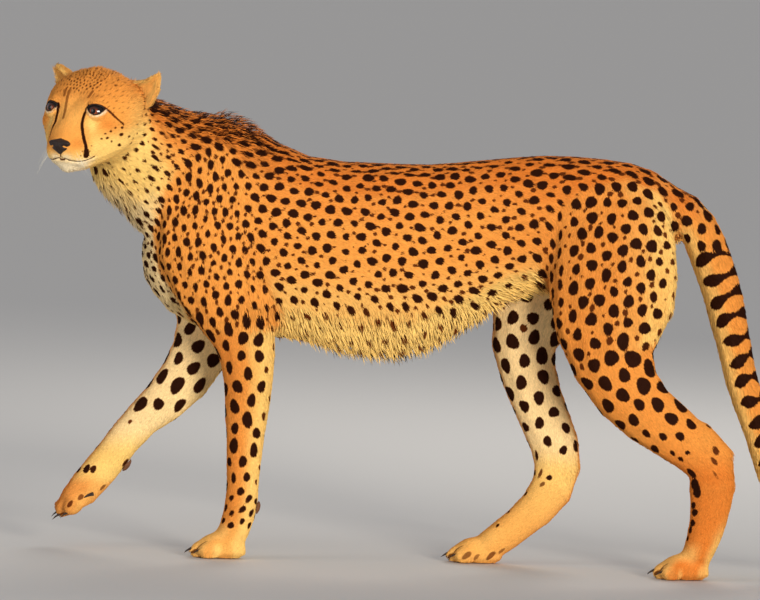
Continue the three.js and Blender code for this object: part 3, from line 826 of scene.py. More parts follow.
# single spots of the body, on its left as seen from that side: place along and up in
# metres, radius in millimetres, length for width, how dark; some are painted shade, as noted
BODY_SPOTS = (
    (0.416, 0.184, 6.5, 1.5, 1.0), (0.424, 0.168, 8.5, 1.2, 1.0), (0.428, 0.150, 8.0, 1.4, 1.0),
    (0.424, 0.130, 5.4, 1.2, 1.0), (0.426, 0.115, 6.4, 1.1, 1.0), (0.424, 0.099, 6.0, 1.1, 1.0),
    (0.420, 0.085, 5.4, 1.1, 1.0), (0.415, 0.072, 4.4, 1.2, 1.0), (0.407, 0.052, 3.2, 1.2, 0.9),
    # brown streaks in the hollow before the heel's tendon: painted shade of the hollow
    (0.456, 0.226, 5.0, 1.7, 0.72), (0.458, 0.206, 3.4, 2.6, 0.62), (0.459, 0.184, 2.0, 3.4, 0.5),
    (0.386, 0.216, 4.6, 1.2, 1.0), (0.397, 0.206, 4.4, 1.2, 1.0), (0.410, 0.222, 4.0, 1.2, 1.0),
    (0.139, 0.156, 4.8, 1.0, 1.0), (0.166, 0.155, 5.0, 1.0, 1.0), (0.142, 0.190, 3.8, 2.2, 1.0),
    (0.148, 0.160, 3.2, 2.6, 0.6), (0.152, 0.140, 3.6, 1.4, 0.55), (0.124, 0.121, 4.0, 1.2, 1.0),
    # the last spot here and the three below: brown streaks on the far hind paw's toes, painted
    # shade between them
    (0.096, 0.089, 3.4, 1.3, 1.0), (0.080, 0.068, 3.0, 1.3, 1.0), (0.030, 0.016, 4.0, 2.6, 0.5),
    (0.046, 0.012, 3.2, 2.0, 0.45), (0.070, 0.016, 4.0, 2.6, 0.55), (0.088, 0.024, 3.0, 2.2, 0.45),
    (-0.641, 0.131, 5.4, 1.2, 0.9), (-0.628, 0.134, 6.6, 1.2, 1.0), (-0.613, 0.137, 5.4, 1.2, 0.9),
    (-0.407, 0.041, 3.4, 1.4, 0.55), (-0.433, 0.034, 3.0, 2.2, 0.5), (-0.425, 0.062, 2.6, 1.8, 0.4),
    # the last spot here and the first two below: brown streaks on the raised far forepaw's toes,
    # painted shade between them
    (-0.560, 0.148, 5.0, 1.6, 0.8), (-0.571, 0.232, 3.4, 1.2, 0.7), (-0.650, 0.074, 3.6, 1.8, 0.62),
    (-0.634, 0.086, 3.6, 1.8, 0.55), (-0.598, 0.104, 3.4, 1.8, 0.5), (-0.514, 0.700, 3.0, 2.6, 1.0),
    # with the last spot above: long black streaks where the neck meets the shoulder, partly real
    # spots and partly painted shade of that fold
    (-0.514, 0.682, 3.4, 2.6, 1.0), (-0.515, 0.662, 3.6, 2.6, 1.0), (-0.517, 0.645, 4.0, 2.0, 1.0),
    # a close chain of long black spots down the fold before the thigh: real spots, set this densely
    # as painted shade of the fold
    (0.158, 0.646, 4.8, 1.6, 1.0), (0.176, 0.634, 4.6, 1.8, 1.0), (0.160, 0.618, 5.2, 1.8, 1.0),
    (0.178, 0.606, 4.8, 1.8, 1.0), (0.162, 0.590, 5.4, 1.8, 1.0), (0.180, 0.578, 5.0, 1.8, 1.0),
    (0.164, 0.562, 5.4, 1.8, 1.0), (0.181, 0.549, 5.2, 1.8, 1.0), (0.166, 0.534, 5.4, 1.8, 1.0),
    (0.183, 0.521, 5.2, 1.8, 1.0), (0.168, 0.506, 5.4, 1.8, 1.0), (0.184, 0.493, 5.2, 1.8, 1.0),
    (0.170, 0.478, 5.4, 1.8, 1.0), (0.186, 0.465, 5.2, 1.8, 1.0),
)
# lines of the face: places, half widths at the two ends in millimetres, how dark, its sides
BOTH, RIGHT = (1, -1), (1,)
# a brown line beside the bridge of the nose, drawn on the right side only: partly a brow mark,
# partly painted shade along that side
BROW_LINE_AND_SHADE = ((66, 19, 78), (58, 17.5, 70), (49, 15, 61.5), (37, 11.5, 49.5), (28, 9.5, 40))
BROW_TICK = ((70, 27, 77), (60, 24.5, 69))
FACE_LINES = (
    (TEAR, 2.4, 3.2, 1.0, BOTH),
    (((19, 39.5, -12), (18, 40, -19)), 4.6, 5.6, 1.0, BOTH),
    (EYE_TAIL, 1.9, 1.7, 0.8, BOTH),
    # painted shade in part: the brow line on the right side only
    (BROW_LINE_AND_SHADE, 2.4, 2.2, 0.46, RIGHT),
    (BROW_TICK, 2.4, 2.0, 0.46, BOTH),
    (MOUTH, 1.3, 1.4, 0.9, BOTH),
    (PHILTRUM, 1.1, 0.9, 1.0, RIGHT),
)
TAIL_SPOTS_END = 0.556  # height at which the tail's spots join into rows
TAIL_ROWS = 0.036  # from one row or ring to the next
TAIL_BACK = np.array((0.93, 0, 0.37))  # away from the body, square to the hanging tail
WHITE_FROM = 0.07  # length of the white tuft


def spot_plan(places, normals, owner):
    """Spacing, radius, stretch and darkness of the spots that each place would carry."""
    spacing, radius, stretch, dark = columns = columns_of(SPOT_TABLE, owner)
    x, y, z = places.T
    up = normals[:, 2]
    trunk, neck, head = (at(owner, name) for name in ("trunk", "neck", "head"))
    parts = ("thigh", "shank", "forearm", "forepaw")
    thigh, shank, fore, paws = (both(owner, part) for part in parts)
    add(columns, trunk * smooth(0.05, 0.22, x), 3.2, 1.2)  # rump
    add(columns, trunk * smooth(-0.30, -0.38, x), -3.4, -1.3, 0.2)  # breast
    add(columns, smooth(0.45, 0.85, up) * trunk, -4.5, -1.5, 0.6)  # spine
    mane = smooth(0.35, 0.8, up) * smooth(-0.27, -0.35, x) * (trunk | neck)
    add(columns, mane, 3.0, 2.2)
    add(columns, trunk * smooth(-0.22, -0.1, x) * smooth(0.50, 0.45, z), 0, -0.5, 0.45)  # low flank
    low_side = np.maximum(smooth(0.5, 0.85, -up), smooth(0.445, 0.415, z))
    add(columns, trunk * low_side, 9, -1.0, 0, -0.36)  # belly
    add(columns, smooth(0.2, 0.7, -up) * neck, 6, 0, 0.6, -0.15)  # throat
    inner = at(owner, *LIMB_NODES) * smooth(0.2, 0.7, normals[:, 1] * -np.sign(y - MIDLINE))
    inner = inner * ~(paws | both(owner, "hind_foot"))
    elbow = both(owner, "upper_arm") * smooth(0.46, 0.40, z)
    for share, least_gap, least_size in ((inner, 39, 10.0), (elbow, 28, 7.6)):
        spacing += share * np.maximum(least_gap - spacing, 0)
        radius += share * np.maximum(least_size - radius, 0)
    add(columns, fore * smooth(0.23, 0.13, z), -8, -2.2)  # wrist
    add(columns, shank * smooth(0.32, 0.24, z), -8, -4.0)  # hock
    add(columns, thigh * smooth(0.48, 0.38, z), 4, 1.6)  # knee
    rear = (fore | thigh) * smooth(0.45, 0.85, normals[:, 0])
    radius *= 1 - 0.52 * rear
    spacing *= 1 - 0.2 * rear
    dark -= 0.3 * rear
    above_heel = np.where(y < MIDLINE, z - 0.235 - 0.9 * (x - 0.42), z - 0.19)
    radius *= 1 - 0.5 * shank * (y < MIDLINE) * smooth(0.04, 0.012, above_heel)
    spacing[shank & (above_heel < 0.006)] = NO_SPOT
    back, across, height = HEAD.inward(places).T
    add(columns, neck * smooth(170, 145, back), 3, -1.4)  # front of the neck
    high = height - 75
    crown = head * smooth(-2, 8, high) * smooth(50, 62, back)
    crown = crown * smooth(4, -6, np.abs(across) - (26 + 0.75 * high))
    temple = head & (crown < 0.5) & (height > 45) & (back > 66)
    nape = head * smooth(136, 150, back)
    spacing[head & (np.maximum(crown, nape) < 0.5)] = NO_SPOT
    for column, value in zip(columns, (10.0, 1.0, 2.6, 0.34)):
        column[temple] = value
    grown = nape * (crown < 0.5) * ~temple > 0.5
    spacing[grown], radius[grown] = 14.0, 3.0
    ringed = at(owner, *TAIL_PARTS) & (z < TAIL_SPOTS_END + 0.011)
    ringed |= at(owner, "forearm_right") & (z < 0.25) & (normals[:, 1] < 0.2)
    bare = paws & ((z < 0.062) | (y > MIDLINE))
    spacing[ringed | bare] = NO_SPOT
    spacing *= np.where(spacing < NO_SPOT / 2, LEAST, 1)
    return spacing / 1000, radius / 1000, stretch, np.clip(dark, 0, 1)


# how far off a spot feels the others, for its own spacing, how strongly they push it,
# and its longest move in one round, for how far it feels
FELT, PUSH, LONGEST_PUSH = 1.34, 0.34, 0.3


class Spots:
    """Spots thrown over the skin, each clear of the others, with the single spots of cheeks and
    body.
    """

    def __init__(self, places, normals, flow, owner, surface):
        self.random = np.random.default_rng(SEED)
        self.skin = places, normals, flow, surface
        plan = spot_plan(places, normals, owner)
        self.rows = []
        self.placed()
        self.throw(plan, clear=2.0, uneven=0.15, rounds=12)
        spacing, radius, stretch, dark = plan
        main = at(owner, *SMALL_SPOTS)
        faint = np.where(main & (spacing < SPOTTED), spacing * 0.68, NO_SPOT)
        specks = (faint, radius * 0.42, stretch, dark * 0.72)
        self.throw(specks, clear=1.45, uneven=0.4)
        table = np.array(self.rows)
        self.places, self.normals, self.flow = table[:, :3], table[:, 3:6], table[:, 6:9]
        self.radius, self.stretch, self.dark = table[:, 9], table[:, 10], table[:, 11]
        self.across = np.cross(self.normals, self.flow)
        self.lobes = self.random.uniform(0, 2 * math.pi, (len(table), 2))
        tree = tree_of(self.places)
        self.near = np.array([[hit[1] for hit in tree.find_n(p, 6)] for p in places.tolist()])

    def throw(self, plan, clear, uneven, rounds=0):
        """Adds spots in a shuffled order, each one clear of those already there.

        clear is how many of its own radii an older spot keeps free, uneven how much the
        new ones differ in size, and rounds how often their gaps are evened out.
        """
        places, normals, flow, _ = self.skin
        spacing, radius, stretch, dark = plan
        order = self.random.permutation(np.flatnonzero(spacing < SPOTTED))
        old = np.array([row[:3] for row in self.rows]).reshape(-1, 3)
        held = np.array([row[9] * clear for row in self.rows])
        kept = np.concatenate((old, np.zeros((len(order), 3))))
        held = np.concatenate((held, np.zeros(len(order))))
        count, chosen = len(old), []
        for number in order:
            gap = kept[:count] - places[number]
            reach = np.maximum(spacing[number], held[:count] + radius[number])
            if count and ((gap * gap).sum(axis=1) < reach**2).any():
                continue
            kept[count], held[count] = places[number], 0
            count += 1
            chosen.append(number)
        here, chosen = self.evened(np.array(chosen), old, order, plan, rounds)
        size = radius[chosen] * self.random.uniform(1 - uneven, 1 + uneven, len(chosen))
        long = stretch[chosen] * self.random.uniform(0.9, 1.15, len(chosen))
        for place, number, r, l in zip(here, chosen, size, long):
            self.rows.append((*place, *normals[number], *flow[number], r, l, dark[number]))

    def evened(self, chosen, old, usable, plan, rounds):
        """The spots' places after their gaps are evened out, and the vertex nearest to each."""
        places, _, flow, surface = self.skin
        spacing, _, stretch, _ = plan
        here = places[chosen]
        tree = tree_of(places[usable])
        for _ in range(rounds):
            others = np.concatenate((here, old))
            gap = here[:, None, :] - others[None]
            along = np.einsum("ijk,ik->ij", gap, flow[chosen])
            squeeze = (1 - 1 / stretch[chosen] ** 0.7)[:, None] * along
            felt = gap - squeeze[:, :, None] * flow[chosen][:, None, :]
            far = np.linalg.norm(felt, axis=2) + 1e-9
            room = spacing[chosen][:, None] * FELT
            push = np.clip(1 - far / room, 0, 1)
            push[np.arange(len(here)), np.arange(len(here))] = 0
            move = (felt / far[:, :, None] * (push * room)[:, :, None]).sum(axis=1) * PUSH
            size = np.linalg.norm(move, axis=1, keepdims=True) + 1e-9
            move *= np.minimum(1, LONGEST_PUSH * room / size)
            moved = here + move
            chosen = usable[np.array([tree.find(place)[1] for place in moved.tolist()])]
            snapped = onto(surface, moved)
            drift = np.linalg.norm(snapped - places[chosen], axis=1, keepdims=True)
            here = np.where(drift < 0.005, snapped, places[chosen])
        return here, chosen

    def placed(self):
        """The single spots of the cheeks and the legs, each on the nearest of the skin."""
        places, normals, flow, surface = self.skin
        tree = tree_of(places)
        wanted = [(seen_from_left(x, z, surface), *looks) for x, z, *looks in BODY_SPOTS]
        for back, out, up, size in CHEEK_SPOTS:
            wanted += [(HEAD.outward((back, sign * out, up)), size, 1.3, 0.9) for sign in SIGNS]
        for place, size, long, dark in wanted:
            near = tree.find(place)[1]
            row = (*places[near], *normals[near], *flow[near], size / 1000, long, dark)
            self.rows.append(row)

    def depth(self, places, near):
        """How deep inside its nearest spot each place is, in millimetres, and how dark that is."""
        gap = places[:, None, :] - self.places[near]
        along = (gap * self.flow[near]).sum(axis=2) / self.stretch[near]
        across = (gap * self.across[near]).sum(axis=2)
        off = (gap * self.normals[near]).sum(axis=2)
        turn = np.arctan2(across, along)
        lobes = self.lobes[near]
        two, three = np.sin(2 * turn + lobes[..., 0]), np.sin(3 * turn + lobes[..., 1])
        uneven = 1 + 0.08 * two + 0.06 * three
        reach = np.sqrt(along**2 + across**2 + (0.7 * off) ** 2) * uneven
        depth = (self.radius[near] - reach) * 1000
        best = depth.argmax(axis=1)
        rows = np.arange(len(places))
        return depth[rows, best], self.dark[near][rows, best]


def line_marks(places, lines):
    """Depth and darkness of a list of lines, in millimetres."""
    depth = np.full(len(places), -50.0)
    dark = np.zeros(len(places))
    for line, first, last, strength in lines:
        gap, share = beside(places, line, reach=12)
        here = first + (last - first) * share - gap
        stronger = here > depth
        depth[stronger], dark[stronger] = here[stronger], strength
    return depth, dark


def face_marks(local, eyes, lines):
    """Depth and darkness of the lines of the face, in the head's frame."""
    depth, dark = line_marks(local, lines)
    for eye in eyes:
        flat = eye.flat(local)
        outside = eye.outside(flat)
        wide = 1.1 + 1.1 * smooth(1, 8, flat[:, 1])
        here = np.where(flat[:, 2] > -2, wide - outside, -50)
        stronger = here > depth
        depth[stronger], dark[stronger] = here[stronger], 1.0
    return depth, dark


def tail_marks(places):
    """Depth of the rows and rings of the tail, in millimetres, and the white of its tuft."""
    *line, end = tail_line()
    bend = (line[2][0] + 0.035, line[2][1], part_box("tail_tip")[0].z + 0.028)
    line = np.array((*line, bend, end + (0, 0, 0.01)))
    spans = np.concatenate(([0], np.cumsum(np.linalg.norm(np.diff(line, axis=0), axis=1))))
    end = spans[-1]
    _, share = beside(places, line)
    run = share * end
    axis = np.stack([np.interp(run, spans, line[:, n]) for n in range(3)], axis=1)
    out = unit(places - axis)
    turn = np.arctan2(out[:, 1], out @ TAIL_BACK)
    row = np.round(run / TAIL_ROWS)
    off = run - row * TAIL_ROWS + 0.0035 * np.cos(turn) + 0.003 * np.sin(2 * turn + row * 2.1)
    lobes = 0.74 + 0.32 * np.cos(4 * turn + 0.6 * np.sin(row * 1.7))
    under = smooth(0.3, 0.95, -out @ TAIL_BACK)
    last = smooth(end - 0.26, end - 0.14, run)
    half = (10.5 + 1.5 * last) * (lobes + last * (1 - lobes)) - 9 * under * (1 - last)
    white = smooth(end - WHITE_FROM, end - WHITE_FROM + 0.03, run)
    return half - np.abs(off) * 1000 - 30 * white, white


def tints(places, normals, owner, eyes):
    """How orange, how cream and how white the coat is at each place."""
    x, y, z = places.T
    rear, sideways, up = normals.T
    inward = sideways * -np.sign(y - MIDLINE)
    warm, pale, white = np.zeros((3, len(places)))
    trunk, neck, head = (at(owner, name) for name in ("trunk", "neck", "head"))
    thigh, shank, hind = (both(owner, part) for part in ("thigh", "shank", "hind_foot"))
    fore = both(owner, "forearm") | both(owner, "forepaw")
    far_hind = hind * (y > MIDLINE)
    body = trunk | neck
    warm += body * (0.8 * smooth(0.0, 0.7, up) + 0.1 + 0.3 * smooth(0.0, 0.15, x))
    breast = body * smooth(-0.43, -0.50, x) * smooth(0.1, -0.5, rear) * smooth(0.66, 0.60, z)
    pale += trunk * np.clip(smooth(0.1, 0.8, -up) + 0.35 * smooth(0.54, 0.43, z), 0, 1)
    pale += neck * np.clip(smooth(-0.2, 0.5, -up) * 0.9, 0, 1)
    inner = at(owner, *LIMB_NODES) * smooth(0.1, 0.7, inward)
    pale += inner * 0.85
    white += inner * 0.4 * smooth(0.16, 0.22, z)
    pale += breast
    white += breast * 0.45
    behind = smooth(0.0, 0.8, rear)
    warm += thigh * 0.4 * (1 - behind)
    pale += thigh * behind * 0.85
    pale += trunk * smooth(0.3, 0.9, rear) * smooth(0.15, 0.3, x) * 0.5
    pale += fore * smooth(-0.1, 0.6, rear) * 0.85
    warm += fore * smooth(0.5, -0.5, rear) * 0.55
    outer = (hind | shank) * smooth(0.3, -0.5, inward)
    warm += shank * 0.3 + outer * smooth(0.24, 0.15, z) * 0.9
    pale += hind * smooth(0.3, 0.9, rear) * smooth(0.12, 0.06, z) * 0.7
    warm += far_hind * smooth(0.2, 0.8, rear) * 0.8
    pale += (hind | fore) * smooth(0.3, -0.4, rear) * smooth(0.075, 0.045, z) * 0.55
    right_paw = at(owner, "forepaw_right") * smooth(0.135, 0.105, z)
    warm += right_paw * 0.5
    heel = far_hind * smooth(0.20, 0.05, z)
    pale = pale * (1 - 0.75 * right_paw) * (1 - 0.65 * heel)
    warm += both(owner, "upper_arm") * 0.12
    tail = at(owner, *TAIL_PARTS)
    warm += tail * 0.35 * smooth(-0.2, 0.6, up + rear)
    pale += tail * 0.75 * smooth(0.1, -0.7, up + rear)
    white += at(owner, "tail_tip") * tail_marks(places)[1]
    local = HEAD.inward(places)
    back, out, high = local[:, 0], np.abs(local[:, 1]), local[:, 2]

    def patch(middle, reach):
        return np.exp(-((mirror_gap(local, middle) / np.array(reach)) ** 2).sum(axis=1))

    warm += head * (0.05 + 0.2 * smooth(45, 85, high))
    pale += head * 0.3 * patch((40, 10, 40), (40, 26, 40))
    warm += head * (0.3 * patch((54, 62, 27), (14, 16, 9)) + 0.5 * patch((12, 26, 2), (9, 9, 8)))
    warm += head * 0.3 * patch((58, 24, 70), (14, 14, 12))
    under = smooth(26, -8, high) * smooth(34, 50, out + 0.25 * high)
    pale += head * np.clip(0.95 * under + smooth(0, -26, high), 0, 1)
    pale += head * 0.95 * patch((36, 42, 30), (10, 10, 14))
    pale += head * 0.6 * patch((118, 70, 24), (30, 28, 34))
    warm += head * 0.35 * patch((120, 70, 66), (18, 18, 16))
    pale += neck * smooth(172, 135, back) * 0.6 * smooth(50, 0, high)
    warm = warm * np.where(head, 1 - 0.8 * np.clip(pale, 0, 1), 1)
    warm += head * 0.22 * patch((54, 62, 27), (13, 14, 8))
    white += head * (0.9 * smooth(-18, -34, high) * smooth(46, 18, back))
    white += head * 0.8 * patch((3, 10, -19), (9, 10, 5))
    for eye in eyes:
        flat = eye.flat(local)
        outside = eye.outside(flat)
        below = (flat[:, 1] < 3) & (flat[:, 2] > 0)
        white += head * below * smooth(0.9, 1.6, outside) * smooth(4.8, 3.4, outside) * 0.9
    ear, turned = at(owner, *EARS), ear_back(normals, y)
    pale += ear * (0.25 + 0.45 * smooth(0.3, -0.3, turned) * smooth(-0.95, -0.5, turned))
    warm += ear * 0.25
    return [np.clip(share, 0, 1) for share in (warm, pale, white)]


# ---- the skin ----------------------------------------------------------------------


def refined(mesh, zones):
    """The mesh with every edge that has both ends in a zone halved, zone after zone."""
    made = bmesh.new()
    made.from_mesh(mesh)
    for zone in zones:
        made.verts.ensure_lookup_table()
        places = np.array([v.co for v in made.verts])
        chosen = zone(places)
        edges = [e for e in made.edges if chosen[e.verts[0].index] and chosen[e.verts[1].index]]
        bmesh.ops.subdivide_edges(made, edges=edges, cuts=1, use_grid_fill=True)
        made.verts.index_update()
    bmesh.ops.triangulate(made, faces=[f for f in made.faces if len(f.verts) > 4])
    made.to_mesh(mesh)
    made.free()


def in_head_box(places, low, high, floor=0.6):
    """Where places are within a box of the head's frame, in millimetres, and above a height."""
    local = HEAD.inward(places)
    return ((local > low) & (local < high)).all(axis=1) & (places[:, 2] > floor)


def head_zone(places):
    return in_head_box(places, (-20, -100, -62), (175, 100, 125))


def face_zone(places):
    return in_head_box(places, (-20, -72, -60), (66, 72, 84))


def feet_zone(places):
    zone = np.zeros(len(places), bool)
    for name in FEET:
        low, high = (np.array(end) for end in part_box(name))
        high[2] = low[2] + 0.062
        zone |= ((places > low - 0.01) & (places < high + 0.01)).all(axis=1)
    return zone


def toes_zone(places):
    return feet_zone(places) & (places[:, 2] < 0.034)


def head_or_feet(places):
    return head_zone(places) | feet_zone(places)


def cuff_zone(places):
    """1 where a foot meets its leg, 0 away from it."""
    out = np.zeros(len(places))
    for name in FEET:
        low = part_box(name)[0].z
        here = feet_zone(places) & (np.abs(places[:, 2] - low - 0.04) < 0.04)
        here &= (places[:, 1] > MIDLINE) == name.endswith("right")
        rise = places[here, 2] - low
        out[here] = smooth(0.012, 0.024, rise) * smooth(0.075, 0.058, rise)
    return out


def neck_crease(places):
    """1 in the crease where the head meets the neck, 0 away from it."""
    out = np.zeros(len(places))
    near = in_head_box(places, (40, -130, -1000), (220, 130, 1000), 0.5)
    close = np.flatnonzero(near)
    gaps = []
    for name in ("head", "neck"):
        made = copy_merged(name)
        tree = BVHTree.FromBMesh(made)
        made.free()
        gaps.append([tree.find_nearest(place)[3] for place in places[close].tolist()])
    out[close] = smooth(0.042, 0.014, np.max(gaps, axis=0))
    return out


def toe_gaps():
    """The lines between neighbouring toes, from the claws back."""
    steps = np.array(((0, 0, 0), (0.016, 0, 0.013), (0.030, 0, 0.018)))
    out = []
    for kind in ("fore", "hind"):
        for side in SIDES:
            tips = claw_tips(kind, side)
            for one, other in zip(tips, tips[1:]):
                out.append((one + other) / 2 + np.array((0, 0, -0.006)) + steps)
    return out


def toe_grooves(places, normals):
    """The feet's skin drawn in between neighbouring toes."""
    height = np.zeros(len(places))
    for line in toe_gaps():
        gap, share = beside(places, line, reach=0.03)
        height -= 0.0045 * np.exp(-((gap / 0.0050) ** 2)) * (1 - 0.7 * share)
    return places + normals * height[:, None]


# the skin between the tufts takes the painted shade of a place this far up a tuft
SKIN_RISE = 0.45  # of the skin between the tufts, where a root is 0 and a tip is 1
BUILT = {}  # what the skin's operator keeps for the coat's


def build_skin(sizes, look):
    """The one skin of body, head and ears, and the two eyes that it closes round."""
    covered = FLESH + ("nose", "eye_left", "eye_right")
    fine = fused(covered, sizes.swell, sizes.fine_grain)
    net = Net(fine)
    places = read_vertices(fine)
    places = net.melt(places, net.blur(cuff_zone(places), rounds=4), rounds=36)
    calm = 1 - 0.75 * (head_zone(places) | toes_zone(places))
    write_vertices(fine, net.relax(places, calm, rounds=26))
    surface = surface_of(fine)
    bpy.data.meshes.remove(fine)
    mesh = fused(covered, sizes.swell, sizes.grain)
    net = Net(mesh)
    places = read_vertices(mesh)
    crease = net.blur(neck_crease(places), rounds=3)
    write_vertices(mesh, net.melt(places, crease, rounds=60))
    refined(mesh, (head_or_feet, face_zone))
    filled = read_vertices(mesh)
    places = onto(surface, filled)
    net = Net(mesh)
    crease = net.blur(neck_crease(filled), rounds=6)[:, None]
    places = places + crease * (filled - places)
    calm = 1 - 0.6 * (head_zone(places) | toes_zone(places))
    places = net.relax(places, calm, rounds=10)
    write_vertices(mesh, places)
    normals = read_vertices(mesh, "normal")
    owner = nearest_node(places)
    depth = coat_values(places, normals, owner)[3]
    places = places - normals * net.blur(depth, rounds=8)[:, None]
    forms = SHOULDER_FORMS + BODY_FORMS + RIGHT_LEG_FORMS
    forms += tuple(((x, MIRROR_SUM - y, z), *form) for (x, y, z), *form in SHOULDER_FORMS)
    moved = raised(places, normals, forms)
    places = np.where(at(owner, "head")[:, None], places, moved)
    places = toe_grooves(places, normals)
    write_vertices(mesh, places)
    eyes = [EyePlace(side, look) for side in SIDES]
    head = head_zone(places)
    local = HEAD.inward(places[head])
    turned = read_vertices(mesh, "normal")[head] @ HEAD.turn
    local = shaped_head(local, turned, surface_of(mesh))
    for eye in eyes:
        local = eye.lids(local)
    places[head] = HEAD.outward(local)
    write_vertices(mesh, places)
    join_ears(mesh, sizes.ear_grain)
    return mesh, eyes


def pointed(places, name):
    """An ear drawn in towards the outer end of its upper edge."""
    drawn_in, sign = EAR_DRAWN_IN[name]
    flip = np.array((1, sign, 1))
    local = HEAD.inward(places)
    across = EAR_ACROSS * flip
    from_foot = local - EAR_FOOT * flip
    height, wide = from_foot @ (EAR_UP * flip), from_foot @ across
    share = height / height.max()
    inner = np.clip(0.95 * share, 0, drawn_in) * (wide < EAR_OUTER)
    drawn = (wide - EAR_OUTER) * np.maximum(inner, 0.2 * smooth(0.5, 1.0, share))
    return HEAD.outward(local - drawn[:, None] * across)


def join_ears(mesh, grain):
    whole = bmesh.new()
    whole.from_mesh(mesh)
    for name in EARS:
        ear = fused([name], swell=0.0003, grain=grain)
        places = pointed(relaxed(ear, rounds=8), name)
        write_vertices(ear, places)
        write_vertices(ear, places - read_vertices(ear, "normal") * EAR_COAT)
        whole.from_mesh(ear)
        bpy.data.meshes.remove(ear)
    whole.to_mesh(mesh)
    whole.free()


def record_skin(mesh, eyes):
    """Puts the coat's values on the skin, and keeps what the tufts need."""
    places = read_vertices(mesh)
    normals = read_vertices(mesh, "normal")
    net = Net(mesh)
    owner = nearest_node(places)
    flow = laid_flat(net.blur(coat_lie(places, normals, owner), rounds=16), normals)
    values = net.blur(np.stack(coat_values(places, normals, owner), axis=1), rounds=6)
    surface = surface_of(mesh)
    spots = Spots(places, normals, flow, owner, surface)
    tint = net.blur(np.stack(tints(places, normals, owner, eyes), axis=1), rounds=2)
    lines = []
    for line, first, last, strength, signs in FACE_LINES:
        for sign in signs:
            turned = [(back, sign * out, up) for back, out, up in line]
            lines.append((laid_on_head(turned, surface), first, last, strength))
    # painted shade: brown lines along the gaps between the toes
    legs = [(laid(line, surface) * 1000, 2.4, 0.4, 0.55) for line in toe_gaps()]
    BUILT.update(
        places=places, normals=normals, owner=owner, flow=flow, values=values,
        tint=tint, spots=spots, eyes=eyes, face=lines, legs=legs,
    )
    depth, dark = marks_at(places, spots.near, owner, normals)
    marks = np.stack((depth, dark, 0 * depth), axis=1)
    write_attributes(mesh, marks=marks, tint=tint, rise=np.full(len(places), SKIN_RISE))


def marks_at(places, near, owner, normals):
    """Depth and darkness of the marks at any places, given the skin's nearest spots."""
    depth, dark = BUILT["spots"].depth(places, near)
    head, legs = at(owner, "head", "neck"), at(owner, *LIMB_NODES)
    found = (
        (head, face_marks(HEAD.inward(places[head]), BUILT["eyes"], BUILT["face"])),
        # the brown lines between the toes are painted shade
        (legs, line_marks(places[legs] * 1000, BUILT["legs"])),
    )
    for here, (line, strength) in found:
        old = depth[here]
        stronger = (line > old) & (line > -2)
        depth[here] = np.where(stronger, line, old)
        dark[here] = np.where(stronger, strength, dark[here])
    tail = at(owner, *TAIL_PARTS) & (places[:, 2] < TAIL_SPOTS_END)
    depth[tail] = tail_marks(places[tail])[0]
    dark[tail] = 1
    for name in EARS:
        ear = at(owner, name)
        low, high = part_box(name)
        height = (places[ear, 2] - low.z) / (high.z - low.z)
        turned = ear_back(normals[ear], places[ear, 1])
        depth[ear] = np.minimum((turned - 0.02) * 16, (0.72 - height) * 26)
        dark[ear] = 1.0
    return np.clip(depth, -20, 20), dark


# ---- materials ---------------------------------------------------------------------


class Graph:
    """A node tree with short calls for the nodes used here."""

    def __init__(self, tree):
        self.tree = tree
        self.column = 0

    def node(self, kind, given=(), **settings):
        """A node with its settings, and a value or link given to each named input."""
        made = self.tree.nodes.new(kind)
        made.location = (180 * self.column, 0)
        self.column += 1
        for name, value in settings.items():
            setattr(made, name, value)
        for name, value in dict(given).items():
            self.put(made.inputs[name], value)
        return made

    def put(self, socket, value):
        if isinstance(value, bpy.types.NodeSocket):
            self.tree.links.new(value, socket)
        else:
            socket.default_value = value

    def math(self, kind, *values, clamp=False):
        given = dict(enumerate(values))
        return self.node("ShaderNodeMath", given, operation=kind, use_clamp=clamp).outputs[0]

    def step(self, value, low, high):
        given = {"Value": value, "From Min": low, "From Max": high}
        made = self.node("ShaderNodeMapRange", given, interpolation_type="SMOOTHSTEP")
        return made.outputs["Result"]

    def mix(self, share, first, second, blend="MIX"):
        made = self.node("ShaderNodeMix", data_type="RGBA", blend_type=blend)
        for name, given in (("Factor_Float", share), ("A_Color", first), ("B_Color", second)):
            socket = next(s for s in made.inputs if s.identifier == name)
            self.put(socket, given)
        return next(s for s in made.outputs if s.identifier == "Result_Color")

    def split(self, vector):
        return self.node("ShaderNodeSeparateXYZ", {0: vector}).outputs

    def joined(self, *values):
        return self.node("ShaderNodeCombineXYZ", dict(enumerate(values))).outputs[0]

    def noise(self, place, scale, detail=2.0, roughness=0.5):
        given = {"Vector": place, "Scale": scale, "Detail": detail, "Roughness": roughness}
        return self.node("ShaderNodeTexNoise", given).outputs["Fac"]

    def bump(self, strength, distance, height):
        given = {"Strength": strength, "Distance": distance, "Height": height}
        return self.node("ShaderNodeBump", given).outputs["Normal"]

    def attribute(self, name, output="Fac"):
        return self.node("ShaderNodeAttribute", label=name, attribute_name=name).outputs[output]

    def place(self):
        return self.node("ShaderNodeTexCoord").outputs["Object"]


COLOUR_NAMES = ("gold", "orange", "cream", "white", "brown", "black")


